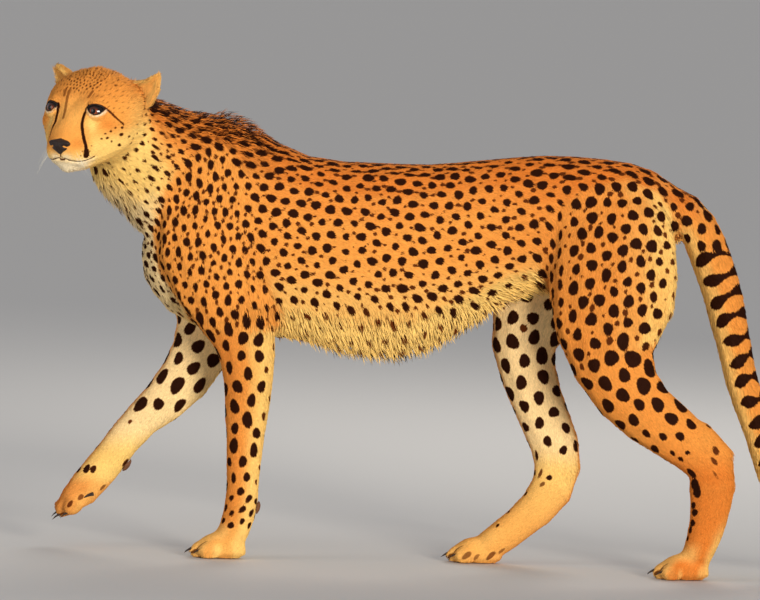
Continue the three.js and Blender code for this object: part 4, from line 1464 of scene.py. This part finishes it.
def coat_group(look):
    """The shared colours and markings of skin and tufts, with painted shade at the roots and a
    painted highlight at the tips.
    """
    tree = bpy.data.node_groups.new("Coat Marks", "ShaderNodeTree")
    sockets = [("Marks", "NodeSocketVector"), ("Tint", "NodeSocketVector")]
    sockets += [("Rise", "NodeSocketFloat"), ("Place", "NodeSocketVector")]
    sockets += [(name.title(), "NodeSocketColor") for name in COLOUR_NAMES]
    for name, kind in sockets:
        socket = tree.interface.new_socket(name, in_out="INPUT", socket_type=kind)
        if kind == "NodeSocketColor":
            socket.default_value = (*getattr(look, name.lower()), 1)
    tree.interface.new_socket("Color", in_out="OUTPUT", socket_type="NodeSocketColor")
    graph = Graph(tree)
    given = graph.node("NodeGroupInput").outputs
    depth, dark, tone = graph.split(given["Marks"])
    warm, pale, white = graph.split(given["Tint"])
    patchy = graph.math("SUBTRACT", graph.noise(given["Place"], 22, 3, 0.6), 0.5)
    warm = graph.math("ADD", warm, graph.math("MULTIPLY", patchy, 0.5), clamp=True)
    coat = graph.mix(warm, given["Gold"], given["Orange"])
    coat = graph.mix(pale, coat, given["Cream"])
    coat = graph.mix(white, coat, given["White"])
    light = graph.math("MULTIPLY_ADD", tone, 0.10, 1.0)
    # painted shade and highlight: darker towards the tufts' roots and the skin between them,
    # lighter towards the tips
    light = graph.math("ADD", light, graph.math("MULTIPLY_ADD", given["Rise"], 0.16, -0.10))
    light = graph.math("ADD", light, graph.math("MULTIPLY", patchy, 0.24))
    coat = graph.mix(1.0, coat, graph.joined(light, light, light), "MULTIPLY")
    ragged = graph.math("SUBTRACT", graph.noise(given["Place"], 420, 1), 0.5)
    edge = graph.math("ADD", depth, graph.math("MULTIPLY", ragged, 1.1))
    inside = graph.step(edge, -1.0, 0.6)
    mark = graph.math("MULTIPLY", inside, graph.math("MULTIPLY", dark, 1.6, clamp=True))
    middle = graph.math("MULTIPLY", graph.step(edge, -0.4, 1.5), graph.step(dark, 0.58, 1.0))
    ink = graph.mix(middle, given["Brown"], given["Black"])
    graph.node("NodeGroupOutput", {"Color": graph.mix(mark, coat, ink)})
    return tree


def new_material(name, roughness):
    made = bpy.data.materials.new(name)
    made.use_nodes = True
    shader = made.node_tree.nodes["Principled BSDF"].inputs
    shader["Roughness"].default_value = roughness
    return made, Graph(made.node_tree), shader


def coat_material(name, group, bump):
    """Short hair: matt, coloured by its marks, with a fine nap where bump is more than 0."""
    made, graph, shader = new_material(name, roughness=0.72)
    place = graph.place()
    marks = graph.node("ShaderNodeGroup", node_tree=group)
    for field, output in (("marks", "Vector"), ("tint", "Vector"), ("rise", "Fac")):
        graph.put(marks.inputs[field.title()], graph.attribute(field, output))
    graph.put(marks.inputs["Place"], place)
    graph.put(shader["Base Color"], marks.outputs["Color"])
    shader["Specular IOR Level"].default_value = 0.06
    if bump:
        graph.put(shader["Normal"], graph.bump(bump, 0.001, graph.noise(place, 900, 2)))
    return made


def plain_material(name, colour, roughness, grain=0.0, scale=600, pit=""):
    """One colour with a soft unevenness, a grain in relief, and near-black painted shade where the
    named attribute says.
    """
    made, graph, shader = new_material(name, roughness)
    place = graph.place()
    lighter = tuple(min(1, c * 1.6 + 0.004) for c in colour)
    shade = graph.mix(graph.noise(place, scale * 0.3, 3), (*colour, 1), (*lighter, 1))
    if pit:
        # painted shade: near black where the attribute says, for the hollows of the nostrils
        shade = graph.mix(graph.attribute(pit), shade, (0.001, 0.001, 0.001, 1))
    graph.put(shader["Base Color"], shade)
    shader["Specular IOR Level"].default_value = 0.25
    if grain:
        graph.put(shader["Normal"], graph.bump(grain, 0.0006, graph.noise(place, scale, 2)))
    return made


# ---- the coat ----------------------------------------------------------------------

COAT_PIECES = (
    ("coat_face", ("head",)),
    ("coat_crown", ("head", *EARS)),
    ("coat_neck", ("neck",)),
    *((f"coat_flank_{side}", ("trunk",)) for side in SIDES),
    *((f"coat_foreleg_{side}", [f"{part}_{side}" for part in LEG_PARTS[:3]]) for side in SIDES),
    *((f"coat_hindleg_{side}", [f"{part}_{side}" for part in LEG_PARTS[3:]]) for side in SIDES),
    ("coat_tail", TAIL_PARTS),
)
PIECE_LIMIT = 32500
PATCH = 0.003  # length of each tuft's patch on the coat's own map
FACE_END = 72  # how far back the face's coat goes, in the head's frame in millimetres
OFF_FLOOR = 0.0003  # the least height of a tuft's corners
# a tuft's corners are a root, a ring of three and a tip
TUFT_FACES = np.array(((0, 2, 1), (0, 3, 2), (0, 1, 3), (1, 2, 4), (2, 3, 4), (3, 1, 4)))
RING_AT = 0.42  # of the tuft's length
TUFT_RISES = np.array((0, RING_AT, RING_AT, RING_AT, 1))
ROOT_DEPTH = 0.0012
DROOPS_FROM, DROOP = 0.018, 0.16  # length of hair that hangs, and how much


def tuft_corners(root, normal, along, length, width, lift):
    """Corners of tufts, shape (tufts, 5, 3): a root in the skin, a ring of three, a tip."""
    across = np.cross(normal, along)
    droop = np.where(length > DROOPS_FROM, DROOP, 0.0)

    def out_at(share):
        bow = 1 - 0.38 * share
        place = root + along * (length * share * np.cos(lift))[:, None]
        place = place + normal * (length * share * np.sin(lift) * bow)[:, None]
        place[:, 2] -= droop * length * share**2
        return place

    middle = out_at(RING_AT)
    half = (width / 2)[:, None]
    low = normal * half * 0.30
    rows = [root - normal * ROOT_DEPTH, middle - across * half - low, middle + across * half - low]
    rows += [middle + normal * half * 0.55, out_at(1.0)]
    return np.stack(rows, axis=1)


def piece_faces(triangles, number):
    """Which of the skin's triangles carry one piece of the coat."""
    name, nodes = COAT_PIECES[number]
    owner = BUILT["owner"][triangles[:, 0]]
    chosen = at(owner, *nodes)
    middle = BUILT["places"][triangles].mean(axis=1)
    if name in ("coat_face", "coat_crown"):
        front = HEAD.inward(middle)[:, 0] < FACE_END
        ear = at(owner, *EARS)
        chosen &= (front & ~ear) if name == "coat_face" else (~front | ear)
    if name.startswith("coat_flank"):
        left = middle[:, 1] < MIDDLE_Y
        chosen &= left if name.endswith("left") else ~left
    return np.flatnonzero(chosen)


def bald(places, owner):
    """Where no tufts grow: the lids' rims, the nose pad and the soles."""
    local = HEAD.inward(places)
    bare = np.zeros(len(places), bool)
    for eye in BUILT["eyes"]:
        flat = eye.flat(local)
        bare |= (flat[:, 2] > -2) & (eye.outside(flat) < 1.2)
    back, out, up = local[:, 0], np.abs(local[:, 1]), local[:, 2]
    bare |= (np.hypot(out / 19.5, np.where(up > 0, up / 10.5, up / 13)) < 1) & (back < 13)
    low = (places[:, 2] < 0.004) & ~at(owner, "tail_tip")
    return bare & at(owner, "head") | low


def room_for_tufts(triangles, area, chosen):
    """How many tufts would cover each chosen triangle once."""
    values = BUILT["values"]
    length, width = (values[:, n][triangles[chosen]].mean(axis=1) for n in (0, 1))
    return area[chosen] / (length * width)


def grow(triangles, area, chosen, count, random):
    """Roots of tufts over chosen triangles, and a way to read the skin's values at each."""
    total = np.cumsum(room_for_tufts(triangles, area, chosen))
    pick = (np.arange(count) + random.random(count)) / count * total[-1]
    face = chosen[np.minimum(np.searchsorted(total, pick), len(chosen) - 1)]
    first, second = random.random((2, count))
    swap = first + second > 1
    first[swap], second[swap] = 1 - first[swap], 1 - second[swap]
    shares = np.stack((1 - first - second, first, second), axis=1)
    trio = triangles[face]

    def blend(field):
        return (field[trio] * shares[:, :, None]).sum(axis=1)

    return trio[:, 0], blend


def make_tufts(name, number, triangles, area, count, random, material):
    chosen = piece_faces(triangles, number)
    anchor, blend = grow(triangles, area, chosen, min(count, PIECE_LIMIT), random)
    fields = [blend(BUILT[field]) for field in ("places", "normals", "flow", "values", "tint")]
    owner = BUILT["owner"][anchor]
    keep = ~bald(fields[0], owner)
    root, normal, flow, values, tint, owner, anchor = (v[keep] for v in (*fields, owner, anchor))
    normal = unit(normal)
    length, width, lift, _ = values.T
    count = len(root)
    flow = laid_flat(flow, normal)
    turn = random.normal(0, 0.20, count)
    along = flow * np.cos(turn)[:, None] + np.cross(normal, flow) * np.sin(turn)[:, None]
    length = length * random.uniform(0.72, 1.22, count)
    width = width * random.uniform(0.8, 1.2, count)
    lift = lift * random.uniform(0.55, 1.45, count)
    places = tuft_corners(root, normal, along, length, width, lift)
    corners = places.shape[1]
    flat = places.reshape(-1, 3)
    flat[:, 2] = np.maximum(flat[:, 2], OFF_FLOOR)
    near = np.repeat(BUILT["spots"].near[anchor], corners, axis=0)
    off = places - root[:, None, :]
    off = off - (off * normal[:, None, :]).sum(axis=2)[:, :, None] * normal[:, None, :]
    samples = (root[:, None, :] + 0.85 * off).reshape(-1, 3)
    owners, normals = np.repeat(owner, corners), np.repeat(normal, corners, axis=0)
    depth, dark = marks_at(samples, near, owners, normals)
    tone = np.repeat(random.normal(0, 1, count).clip(-2, 2), corners)
    faces = TUFT_FACES[None] + (np.arange(count) * corners)[:, None, None]
    mesh = bpy.data.meshes.new(name)
    fill_mesh(mesh, flat, faces.reshape(-1, 3))
    marks, tint = np.stack((depth, dark, tone), axis=1), np.repeat(tint, corners, axis=0)
    write_attributes(mesh, marks=marks, tint=tint, rise=np.tile(TUFT_RISES, count))
    lay_map(mesh, root, corners, faces)
    hung = at(owner, "trunk") & (length > 0.02) & (normal[:, 2] < 0)
    sideways = np.stack((0 * length, np.sign(root[:, 1] - MIDDLE_Y), 0.2 + 0 * length), axis=1)
    soften(mesh, np.where(hung[:, None], unit(normal * 0.55 + sideways * 0.7), normal), corners)
    finish(name, mesh, material, "coat")


def fill_mesh(mesh, places, faces):
    mesh.vertices.add(len(places))
    mesh.vertices.foreach_set("co", places.astype(np.float32).ravel())
    mesh.loops.add(faces.size)
    mesh.loops.foreach_set("vertex_index", faces.astype(np.int32).ravel())
    mesh.polygons.add(len(faces))
    mesh.polygons.foreach_set("loop_start", np.arange(0, faces.size, 3, dtype=np.int32))
    mesh.update(calc_edges=True)


def soften(mesh, normal, corners):
    """Corner normals drawn towards the skin's own, so the coat shades as one surface."""
    own = read_vertices(mesh, "normal").reshape(-1, corners, 3)
    soft = unit(own * 0.45 + normal[:, None, :] * 0.85)
    smooth_shaded(mesh)
    mesh.normals_split_custom_set_from_vertices(soft.reshape(-1, 3).tolist())


def lay_map(mesh, root, corners, faces):
    """The coat's own map: each tuft a small patch where its root lies on the unrolled skin."""
    patch = np.array(((0, -1), (-0.6, 0), (0.6, 0), (0, 0.2), (0, 1))) * PATCH / 2
    spot = np.stack(unrolled(root), axis=1)[:, None, :] + patch[None, :corners]
    layer = mesh.uv_layers.new(name="OFBake")
    pick = faces.reshape(-1)
    layer.data.foreach_set("uv", spot.reshape(-1, 2)[pick].astype(np.float32).ravel())


def unrolled(places):
    """Round and along the piece's own length, each 0 to 1."""
    gap = places - places.mean(axis=0)
    _, _, axes = np.linalg.svd(gap[:: max(1, len(gap) // 4000)], full_matrices=False)
    out = []
    for value in (np.arctan2(gap @ axes[2], gap @ axes[1]), gap @ axes[0]):
        low, high = value.min(), value.max()
        out.append(0.004 + 0.992 * (value - low) / (high - low))
    return out


def triangle_table(mesh):
    mesh.calc_loop_triangles()
    table = np.empty(len(mesh.loop_triangles) * 3, np.int32)
    mesh.loop_triangles.foreach_get("vertices", table)
    return table.reshape(-1, 3)


def build_coat(look, group):
    triangles = triangle_table(bpy.data.objects["skin"].data)
    a, b, c = (BUILT["places"][triangles[:, n]] for n in range(3))
    area = np.linalg.norm(np.cross(b - a, c - a), axis=1) / 2
    material = coat_material("Coat Tufts", group, bump=0)
    wanted = []
    for number in range(len(COAT_PIECES)):
        chosen = piece_faces(triangles, number)
        wanted.append(room_for_tufts(triangles, area, chosen).sum())
    scale = look.tufts / sum(wanted)
    random = np.random.default_rng(SEED + 1)
    for number, (name, _) in enumerate(COAT_PIECES):
        count = int(wanted[number] * scale)
        make_tufts(name, number, triangles, area, count, random, material)


# ---- eyes, nose, claws, pads, whiskers ----------------------------------------------


def bridge(whole, rings, count):
    """Faces from each ring of corners to the next; a ring may be one corner."""
    for low, high in zip(rings, rings[1:]):
        for n in range(count):
            m = (n + 1) % count
            corners = [low[n % len(low)], low[m % len(low)]]
            corners += [high[m % len(high)], high[n % len(high)]]
            whole.faces.new(list(dict.fromkeys(corners)))


def rounded(whole, name):
    """The finished corners and faces as a mesh that shades as one surface."""
    bmesh.ops.recalc_face_normals(whole, faces=whole.faces)
    mesh = bpy.data.meshes.new(name)
    whole.to_mesh(mesh)
    whole.free()
    smooth_shaded(mesh)
    return mesh


def tubes(name, lines, corners=10):
    """A mesh of closed tubes: each a line of places, their radii, and if it's a loop."""
    whole = bmesh.new()
    turn = np.linspace(0, 2 * math.pi, corners, endpoint=False)
    for line, radii, loop in lines:
        line = np.asarray(line, float)
        if loop:
            run = unit(np.roll(line, -1, axis=0) - np.roll(line, 1, axis=0))
        else:
            run = unit(np.gradient(line, axis=0))
        hint = np.array((0.0, 0.0, 1.0)) if abs(run[0][2]) < 0.9 else np.array((0.0, 1.0, 0.0))
        side = unit(np.cross(run[0], hint))
        loops = []
        for place, way, radius in zip(line, run, radii):
            side = unit(side - way * (side @ way))
            other = np.cross(way, side)
            ring = place + radius * (np.cos(turn)[:, None] * side + np.sin(turn)[:, None] * other)
            loops.append([whole.verts.new(corner) for corner in ring])
        bridge(whole, loops + loops[:1] if loop else loops, corners)
        if not loop:
            whole.faces.new(loops[0][::-1])
            whole.faces.new(loops[-1])
    return rounded(whole, name)


PUPIL_BLACK = (0.003, 0.002, 0.002, 1)


def eye_mesh(eye):
    """A ball with a clear bulge over the iris, and each place's distance from the pupil."""
    rings, spokes = 72, 64
    radius = EYE_RADIUS * 1000
    turn = np.linspace(0, math.pi, rings + 1)
    round_ = np.linspace(0, 2 * math.pi, spokes, endpoint=False)
    side = unit(np.cross(eye.gaze, (0, 0, 1)))
    up = np.cross(side, eye.gaze)
    bulge = 0.9 * np.cos(np.clip(turn / 0.62, 0, 1) * math.pi / 2) ** 2
    whole = bmesh.new()
    loops = []
    distance = []
    for angle, more in zip(turn, bulge):
        reach = radius - 0.6 + more
        ring = []
        for spoke in round_ if 0 < angle < math.pi else (0,):
            way = eye.gaze * math.cos(angle) + math.sin(angle) * (
                math.cos(spoke) * side + math.sin(spoke) * up
            )
            ring.append(whole.verts.new(HEAD.outward(eye.middle + way * reach)))
            distance.append((angle * radius, math.cos(spoke) * 3, math.sin(spoke) * 3))
        loops.append(ring)
    bridge(whole, loops, spokes)
    mesh = rounded(whole, "eye")
    write_attributes(mesh, iris=np.array(distance))
    return mesh


def eye_material(look):
    made, graph, shader = new_material("Wet Eye", roughness=0.12)
    distance, spoke_x, spoke_y = graph.split(graph.attribute("iris", "Vector"))
    spokes = graph.joined(spoke_x, spoke_y, graph.math("MULTIPLY", distance, 0.12))
    fibre = graph.noise(spokes, 6, 3)
    pupil, iris = look.pupil * 1000, look.iris * 1000
    amber, umber, rim = ((*colour, 1) for colour in (look.amber, look.umber, look.rim))
    shade = graph.mix(graph.step(distance, pupil * 1.2, iris), amber, umber)
    shade = graph.mix(graph.math("MULTIPLY", fibre, 0.5), shade, umber)
    # painted shadow of the upper lid: the iris darkened towards its top
    shade = graph.mix(graph.math("MULTIPLY", graph.step(spoke_y, 0.4, 2.6), 0.8), shade, rim)
    shade = graph.mix(graph.step(distance, iris * 0.93, iris * 1.06), shade, rim)
    shade = graph.mix(graph.step(distance, pupil + 0.3, pupil - 0.3), shade, PUPIL_BLACK)
    graph.put(shader["Base Color"], shade)
    shader["Specular IOR Level"].default_value = 0.2
    shader["Coat Weight"].default_value = 0.45
    shader["Coat Roughness"].default_value = 0.05
    return made


def build_eyes(look):
    wet = eye_material(look)
    rim = plain_material("Lid Skin", look.rim, roughness=0.5, grain=0.25, scale=900)
    for side in SIDES:
        eye = EyePlace(side, look)
        finish(f"eyeball_{side}", eye_mesh(eye), wet, "eye", f"eye_{side}")
        outline = eye.on_ball(eye.outline, EYE_RADIUS * 1000 + 0.5)
        radii = np.where(eye.upper, 1.15, 0.75) / 1000
        radii = (np.roll(radii, 1) + radii + np.roll(radii, -1)) / 3
        lid = tubes(f"lid_{side}", [(HEAD.outward(outline), radii, True)])
        finish(f"lid_{side}", lid, rim, "nose")


NOSE_FORMS = (
    ((-2, 17, 5), (6, 6, 4.5), 1.8),  # wing
    ((-1, 0, 10), (7, 8, 3.5), -1.0),  # dip of its upper edge
    ((-6, 4.5, 0), (5, 4, 6), 1.0),
    ((-6, 0, -3), (6, 1.1, 9), -1.4),  # the groove down its middle
    ((0, 16, -3), (6, 4.5, 2.0), -2.2),  # outer slit
)
NOSTRIL = ((-3, 11, -0.5), (6, 4.4, 2.8), -4.6)


def build_nose():
    mesh = fused(["nose"], swell=0.0004, grain=0.0009)
    places = relaxed(mesh, rounds=14)
    write_vertices(mesh, places)
    local = HEAD.inward(places)
    turned = read_vertices(mesh, "normal") @ HEAD.turn
    forms = forms_of_both_sides((*NOSE_FORMS, NOSTRIL))
    write_vertices(mesh, HEAD.outward(raised(local, turned, forms)))
    gap = mirror_gap(local, NOSTRIL[0]) / np.array(NOSTRIL[1])
    # painted shade of the nostrils' hollows, darkest at their middles
    write_attributes(mesh, pit=np.exp(-1.3 * (gap**2).sum(axis=1)))
    smooth_shaded(mesh)
    leather = plain_material(
        "Nose Leather", linear(34, 22, 17), roughness=0.42, grain=0.5, scale=1500, pit="pit"
    )
    finish("nose_pad", mesh, leather, "nose", "nose")


CLAW_ROOT = 0.009  # how far a claw's root is set back into the toe


def claw_line(name):
    """A claw's line from its root, set back into the toe, to its tip, and its radii."""
    low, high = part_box(name)
    behind = 0.0 if name.startswith("dew") else CLAW_ROOT
    across = (low.y + high.y) / 2
    root = np.array((high.x + behind, across, high.z - 0.003 + behind * 0.1))
    tip = np.array((low.x, across, low.z + 0.0003))
    bow = (root + tip) / 2 + np.array((-0.0018, 0, 0.0022))
    share = np.linspace(0, 1, 9)[:, None]
    line = root * (1 - share) ** 2 + 2 * bow * share * (1 - share) + tip * share**2
    radii = (high.y - low.y) / 2 * (1 - share[:, 0] ** 1.4 * 0.93)
    return line, radii, False


def build_claws():
    dark, tan = linear(46, 34, 26), linear(96, 60, 36)
    horn = plain_material("Claw Horn", dark, roughness=0.35, grain=0.2, scale=700)
    for kind, names in (("fore", FRONT_CLAWS), ("hind", BACK_CLAWS), ("dew", DEW_CLAWS)):
        mesh = tubes(f"claws_{kind}", [claw_line(name) for name in names])
        finish(f"claws_{kind}", mesh, horn, "claw", *names)
    leather = plain_material("Pad Leather", tan, roughness=0.7, grain=0.6, scale=900)
    for name in PADS:
        mesh = fused([name], swell=0.0, grain=0.0012)
        write_vertices(mesh, relaxed(mesh, rounds=6))
        smooth_shaded(mesh)
        finish(f"soft_{name}", mesh, leather, "pad", name)


HAIR_SECTION = 0.006  # radius at which a whisker's section is drawn, before it is scaled
WHISKER_RADIUS = 0.00018
# height, two places back, and length of the whiskers, in the head's frame in millimetres
WHISKER_ROWS = ((-11, (8, 13), 36), (-16, (6, 11), 44), (-21, (8, 12), 38))


def whisker_group(material):
    """Geometry nodes: one thin tapering hair at each point, along its aim, as long as it says."""
    tree = bpy.data.node_groups.new("Whisker Hairs", "GeometryNodeTree")
    for name, way, kind in (
        ("Points", "INPUT", "Geometry"),
        ("Thickness", "INPUT", "Float"),
        ("Hairs", "OUTPUT", "Geometry"),
    ):
        tree.interface.new_socket(name, in_out=way, socket_type=f"NodeSocket{kind}")
    graph = Graph(tree)
    given = graph.node("NodeGroupInput").outputs
    bow = {"Resolution": 10, "Start": (0, 0, 0), "Middle": (0.10, 0, 0.5), "End": (0, 0, 1)}
    line = graph.node("GeometryNodeCurveQuadraticBezier", bow).outputs["Curve"]
    share = graph.node("GeometryNodeSplineParameter").outputs["Factor"]
    taper = graph.math("MULTIPLY_ADD", share, -0.85, 1.0)
    radius = graph.node("GeometryNodeSetCurveRadius", {"Curve": line, "Radius": taper})
    section = {"Resolution": 5, "Radius": HAIR_SECTION}
    ring = graph.node("GeometryNodeCurvePrimitiveCircle", section).outputs["Curve"]

    def named(name, kind):
        made = graph.node("GeometryNodeInputNamedAttribute", {"Name": name}, data_type=kind)
        return made.outputs["Attribute"]

    sweep = {"Curve": radius.outputs["Curve"], "Profile Curve": ring, "Fill Caps": True}
    body = graph.node("GeometryNodeCurveToMesh", sweep)
    if "Scale" in body.inputs:
        graph.put(body.inputs["Scale"], taper)
    aim = {"Vector": named("hair_aim", "FLOAT_VECTOR")}
    turn = graph.node("FunctionNodeAlignRotationToVector", aim, axis="Z")
    across = graph.math("MULTIPLY", given["Thickness"], 1 / HAIR_SECTION)
    spread = {"Points": given["Points"], "Instance": body.outputs["Mesh"]}
    spread["Rotation"] = turn.outputs["Rotation"]
    spread["Scale"] = graph.joined(across, across, named("hair_length", "FLOAT"))
    hairs = graph.node("GeometryNodeInstanceOnPoints", spread).outputs["Instances"]
    real = graph.node("GeometryNodeRealizeInstances", {"Geometry": hairs}).outputs["Geometry"]
    paint = graph.node("GeometryNodeSetMaterial", {"Geometry": real, "Material": material})
    graph.node("NodeGroupOutput", {"Hairs": paint.outputs["Geometry"]})
    return tree


def whisker_points():
    """Roots, aims and lengths of the whiskers, in the head's frame."""
    random = np.random.default_rng(SEED + 2)
    roots, aims, lengths = [], [], []
    for up, backs, length in WHISKER_ROWS:
        for back in backs:
            roots.append((back, 22 + back * 0.6, up))
            aims.append((-0.12, 0.62, -0.65 - random.uniform(0, 0.5)))
            lengths.append(length * random.uniform(0.6, 1.05))
    return np.array(roots, float), unit(np.array(aims)), np.array(lengths) / 1000


def build_whiskers(skin):
    surface = surface_of(skin.data)
    roots, aims, lengths = whisker_points()
    both_roots, ways = [], []
    for sign in SIGNS:
        flip = np.array((1, sign, 1))
        both_roots += onto(surface, HEAD.outward(roots * flip)).tolist()
        ways += HEAD.direction(aims * flip).tolist()
    mesh = bpy.data.meshes.new("whiskers")
    mesh.from_pydata(both_roots, [], [])
    write_attributes(mesh, hair_aim=np.array(ways), hair_length=np.tile(lengths, 2))
    holder = link("whisker_roots", mesh)
    pale = plain_material("Whisker Hair", linear(238, 222, 190), roughness=0.5)
    modifier = holder.modifiers.new("Hairs", "NODES")
    modifier.node_group = whisker_group(pale)
    socket = next(s for s in modifier.node_group.interface.items_tree if s.name == "Thickness")
    modifier[socket.identifier] = WHISKER_RADIUS
    graph = bpy.context.evaluated_depsgraph_get()
    hairs = bpy.data.meshes.new_from_object(holder.evaluated_get(graph))
    bpy.data.objects.remove(holder)
    bpy.data.meshes.remove(mesh)
    finish("whiskers", hairs, None, "whisker")


# ---- the stage ---------------------------------------------------------------------

FLOOR = 90  # half the floor's width
SUN_WAY = Vector((-4.3, 8.2, -1.7))
CAMERA_AIM = Vector((-0.1302, 0.0386, 0.4477))
CAMERA_TURN, CAMERA_DROP, CAMERA_ROLL = (math.radians(angle) for angle in (5, 4.5, 2))
SENSOR = 36  # width of the camera's sensor in millimetres


def area_lamp(name, place, target, size, power, colour):
    data = bpy.data.lights.new(name, "AREA")
    data.shape, data.size, data.energy, data.color = "DISK", size, power, colour
    lamp = link(name, data)
    lamp.location = place
    lamp.rotation_euler = (Vector(target) - Vector(place)).to_track_quat("-Z", "Y").to_euler()


def build_stage(sizes):
    scene = bpy.context.scene
    scene.view_settings.view_transform = "Standard"
    mesh = bpy.data.meshes.new("floor")
    corners = [(x * FLOOR, y * FLOOR, 0) for x, y in ((-1, -1), (1, -1), (1, 1), (-1, 1))]
    mesh.from_pydata(corners, [], [(0, 1, 2, 3)])
    floor = link("floor", mesh)
    material, _, shader = new_material("Studio Floor", roughness=0.9)
    shader["Base Color"].default_value = (0.62, 0.60, 0.57, 1)
    mesh.materials.append(material)
    floor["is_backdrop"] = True
    world = bpy.data.worlds.new("Studio")
    scene.world = world
    world.use_nodes = True
    shade = world.node_tree.nodes["Background"].inputs
    shade["Color"].default_value, shade["Strength"].default_value = (0.86, 0.90, 1.0, 1), 0.36
    sun = bpy.data.lights.new("Key", "SUN")
    sun.energy, sun.angle, sun.color = 3.0, math.radians(17), (1.0, 0.95, 0.86)
    link("Key", sun).rotation_euler = SUN_WAY.to_track_quat("-Z", "Y").to_euler()
    for name, place, target, size, power, colour in (
        ("Fill", (-3.6, -2.2, 1.8), (-0.6, 0, 0.7), 2.5, 34, (1.0, 0.97, 0.92)),
        ("Rim", (0.5, 3.2, 2.6), (-0.1, 0.03, 0.4), 2.0, 45, (1.0, 0.96, 0.9)),
    ):
        area_lamp(name, place, target, size, power, colour)
    turn, drop = CAMERA_TURN, CAMERA_DROP
    level = math.cos(drop)
    view = Vector((-math.sin(turn) * level, math.cos(turn) * level, -math.sin(drop)))
    data = bpy.data.cameras.new("Camera")
    data.sensor_width = SENSOR
    data.lens = SENSOR * sizes.distance / sizes.width
    data.clip_end = 300
    camera = link("Camera", data)
    place = Matrix.Translation(CAMERA_AIM - view * sizes.distance)
    aim = view.to_track_quat("-Z", "Y").to_matrix().to_4x4()
    camera.matrix_world = place @ aim @ Matrix.Rotation(CAMERA_ROLL, 4, "Z")
    scene.camera = camera


# ---- operators ---------------------------------------------------------------------


class CHEETAH_OT_skin(Operator):
    """Makes the one skin of body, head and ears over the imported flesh"""

    bl_idname = "cheetah.skin"
    bl_label = "Skin"

    def execute(self, context):
        mesh, eyes = build_skin(context.scene.cheetah_skin, context.scene.cheetah_eyes)
        record_skin(mesh, eyes)
        smooth_shaded(mesh)
        mesh.name = "skin"
        group = coat_group(context.scene.cheetah_coat)
        finish("skin", mesh, coat_material("Coat Skin", group, bump=0.35), "coat", *PLACES)
        return {"FINISHED"}


class CHEETAH_OT_eyes(Operator):
    """Makes the two eyeballs and the dark rims of their lids"""

    bl_idname = "cheetah.eyes"
    bl_label = "Eyes"

    def execute(self, context):
        build_eyes(context.scene.cheetah_eyes)
        return {"FINISHED"}


class CHEETAH_OT_nose(Operator):
    """Makes the nose pad with its nostrils"""

    bl_idname = "cheetah.nose"
    bl_label = "Nose"

    def execute(self, context):
        build_nose()
        return {"FINISHED"}


class CHEETAH_OT_claws(Operator):
    """Makes the claws, dew claws and wrist pads"""

    bl_idname = "cheetah.claws"
    bl_label = "Claws and Pads"

    def execute(self, context):
        build_claws()
        return {"FINISHED"}


class CHEETAH_OT_coat(Operator):
    """Lays the coat's tufts over the skin, piece by piece"""

    bl_idname = "cheetah.coat"
    bl_label = "Coat"

    def execute(self, context):
        build_coat(context.scene.cheetah_coat, bpy.data.node_groups["Coat Marks"])
        return {"FINISHED"}


class CHEETAH_OT_whiskers(Operator):
    """Makes the whiskers"""

    bl_idname = "cheetah.whiskers"
    bl_label = "Whiskers"

    def execute(self, context):
        build_whiskers(bpy.data.objects["skin"])
        return {"FINISHED"}


class CHEETAH_OT_stage(Operator):
    """Makes the floor, the lamps and the camera"""

    bl_idname = "cheetah.stage"
    bl_label = "Stage"

    def execute(self, context):
        build_stage(context.scene.cheetah_stage)
        return {"FINISHED"}


OPERATORS = (
    CHEETAH_OT_skin,
    CHEETAH_OT_eyes,
    CHEETAH_OT_nose,
    CHEETAH_OT_claws,
    CHEETAH_OT_coat,
    CHEETAH_OT_whiskers,
    CHEETAH_OT_stage,
)


class CHEETAH_PT_build(Panel):
    """Lists the pieces of the cheetah"""

    bl_label = "Cheetah"
    bl_idname = "CHEETAH_PT_build"
    bl_space_type = "VIEW_3D"
    bl_region_type = "UI"
    bl_category = "Cheetah"

    def draw(self, context):
        for operator in OPERATORS:
            self.layout.operator(operator.bl_idname)


GROUPS = (
    ("cheetah_skin", CheetahSkinSizes),
    ("cheetah_coat", CheetahCoatLook),
    ("cheetah_eyes", CheetahEyeLook),
    ("cheetah_stage", CheetahStageSizes),
)
CLASSES = tuple(group for _, group in GROUPS) + OPERATORS + (CHEETAH_PT_build,)


def register():
    for item in CLASSES:
        bpy.utils.register_class(item)
    for name, group in GROUPS:
        setattr(bpy.types.Scene, name, PointerProperty(type=group))


def unregister():
    for name, _ in GROUPS:
        delattr(bpy.types.Scene, name)
    for item in reversed(CLASSES):
        bpy.utils.unregister_class(item)


def main():
    register()
    for operator in OPERATORS:
        family, name = operator.bl_idname.split(".")
        getattr(getattr(bpy.ops, family), name)()
    ends = [[list(corner) for corner in bounds] for bounds in (START_BOUNDS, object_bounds())]


if __name__ == "__main__":
    main()
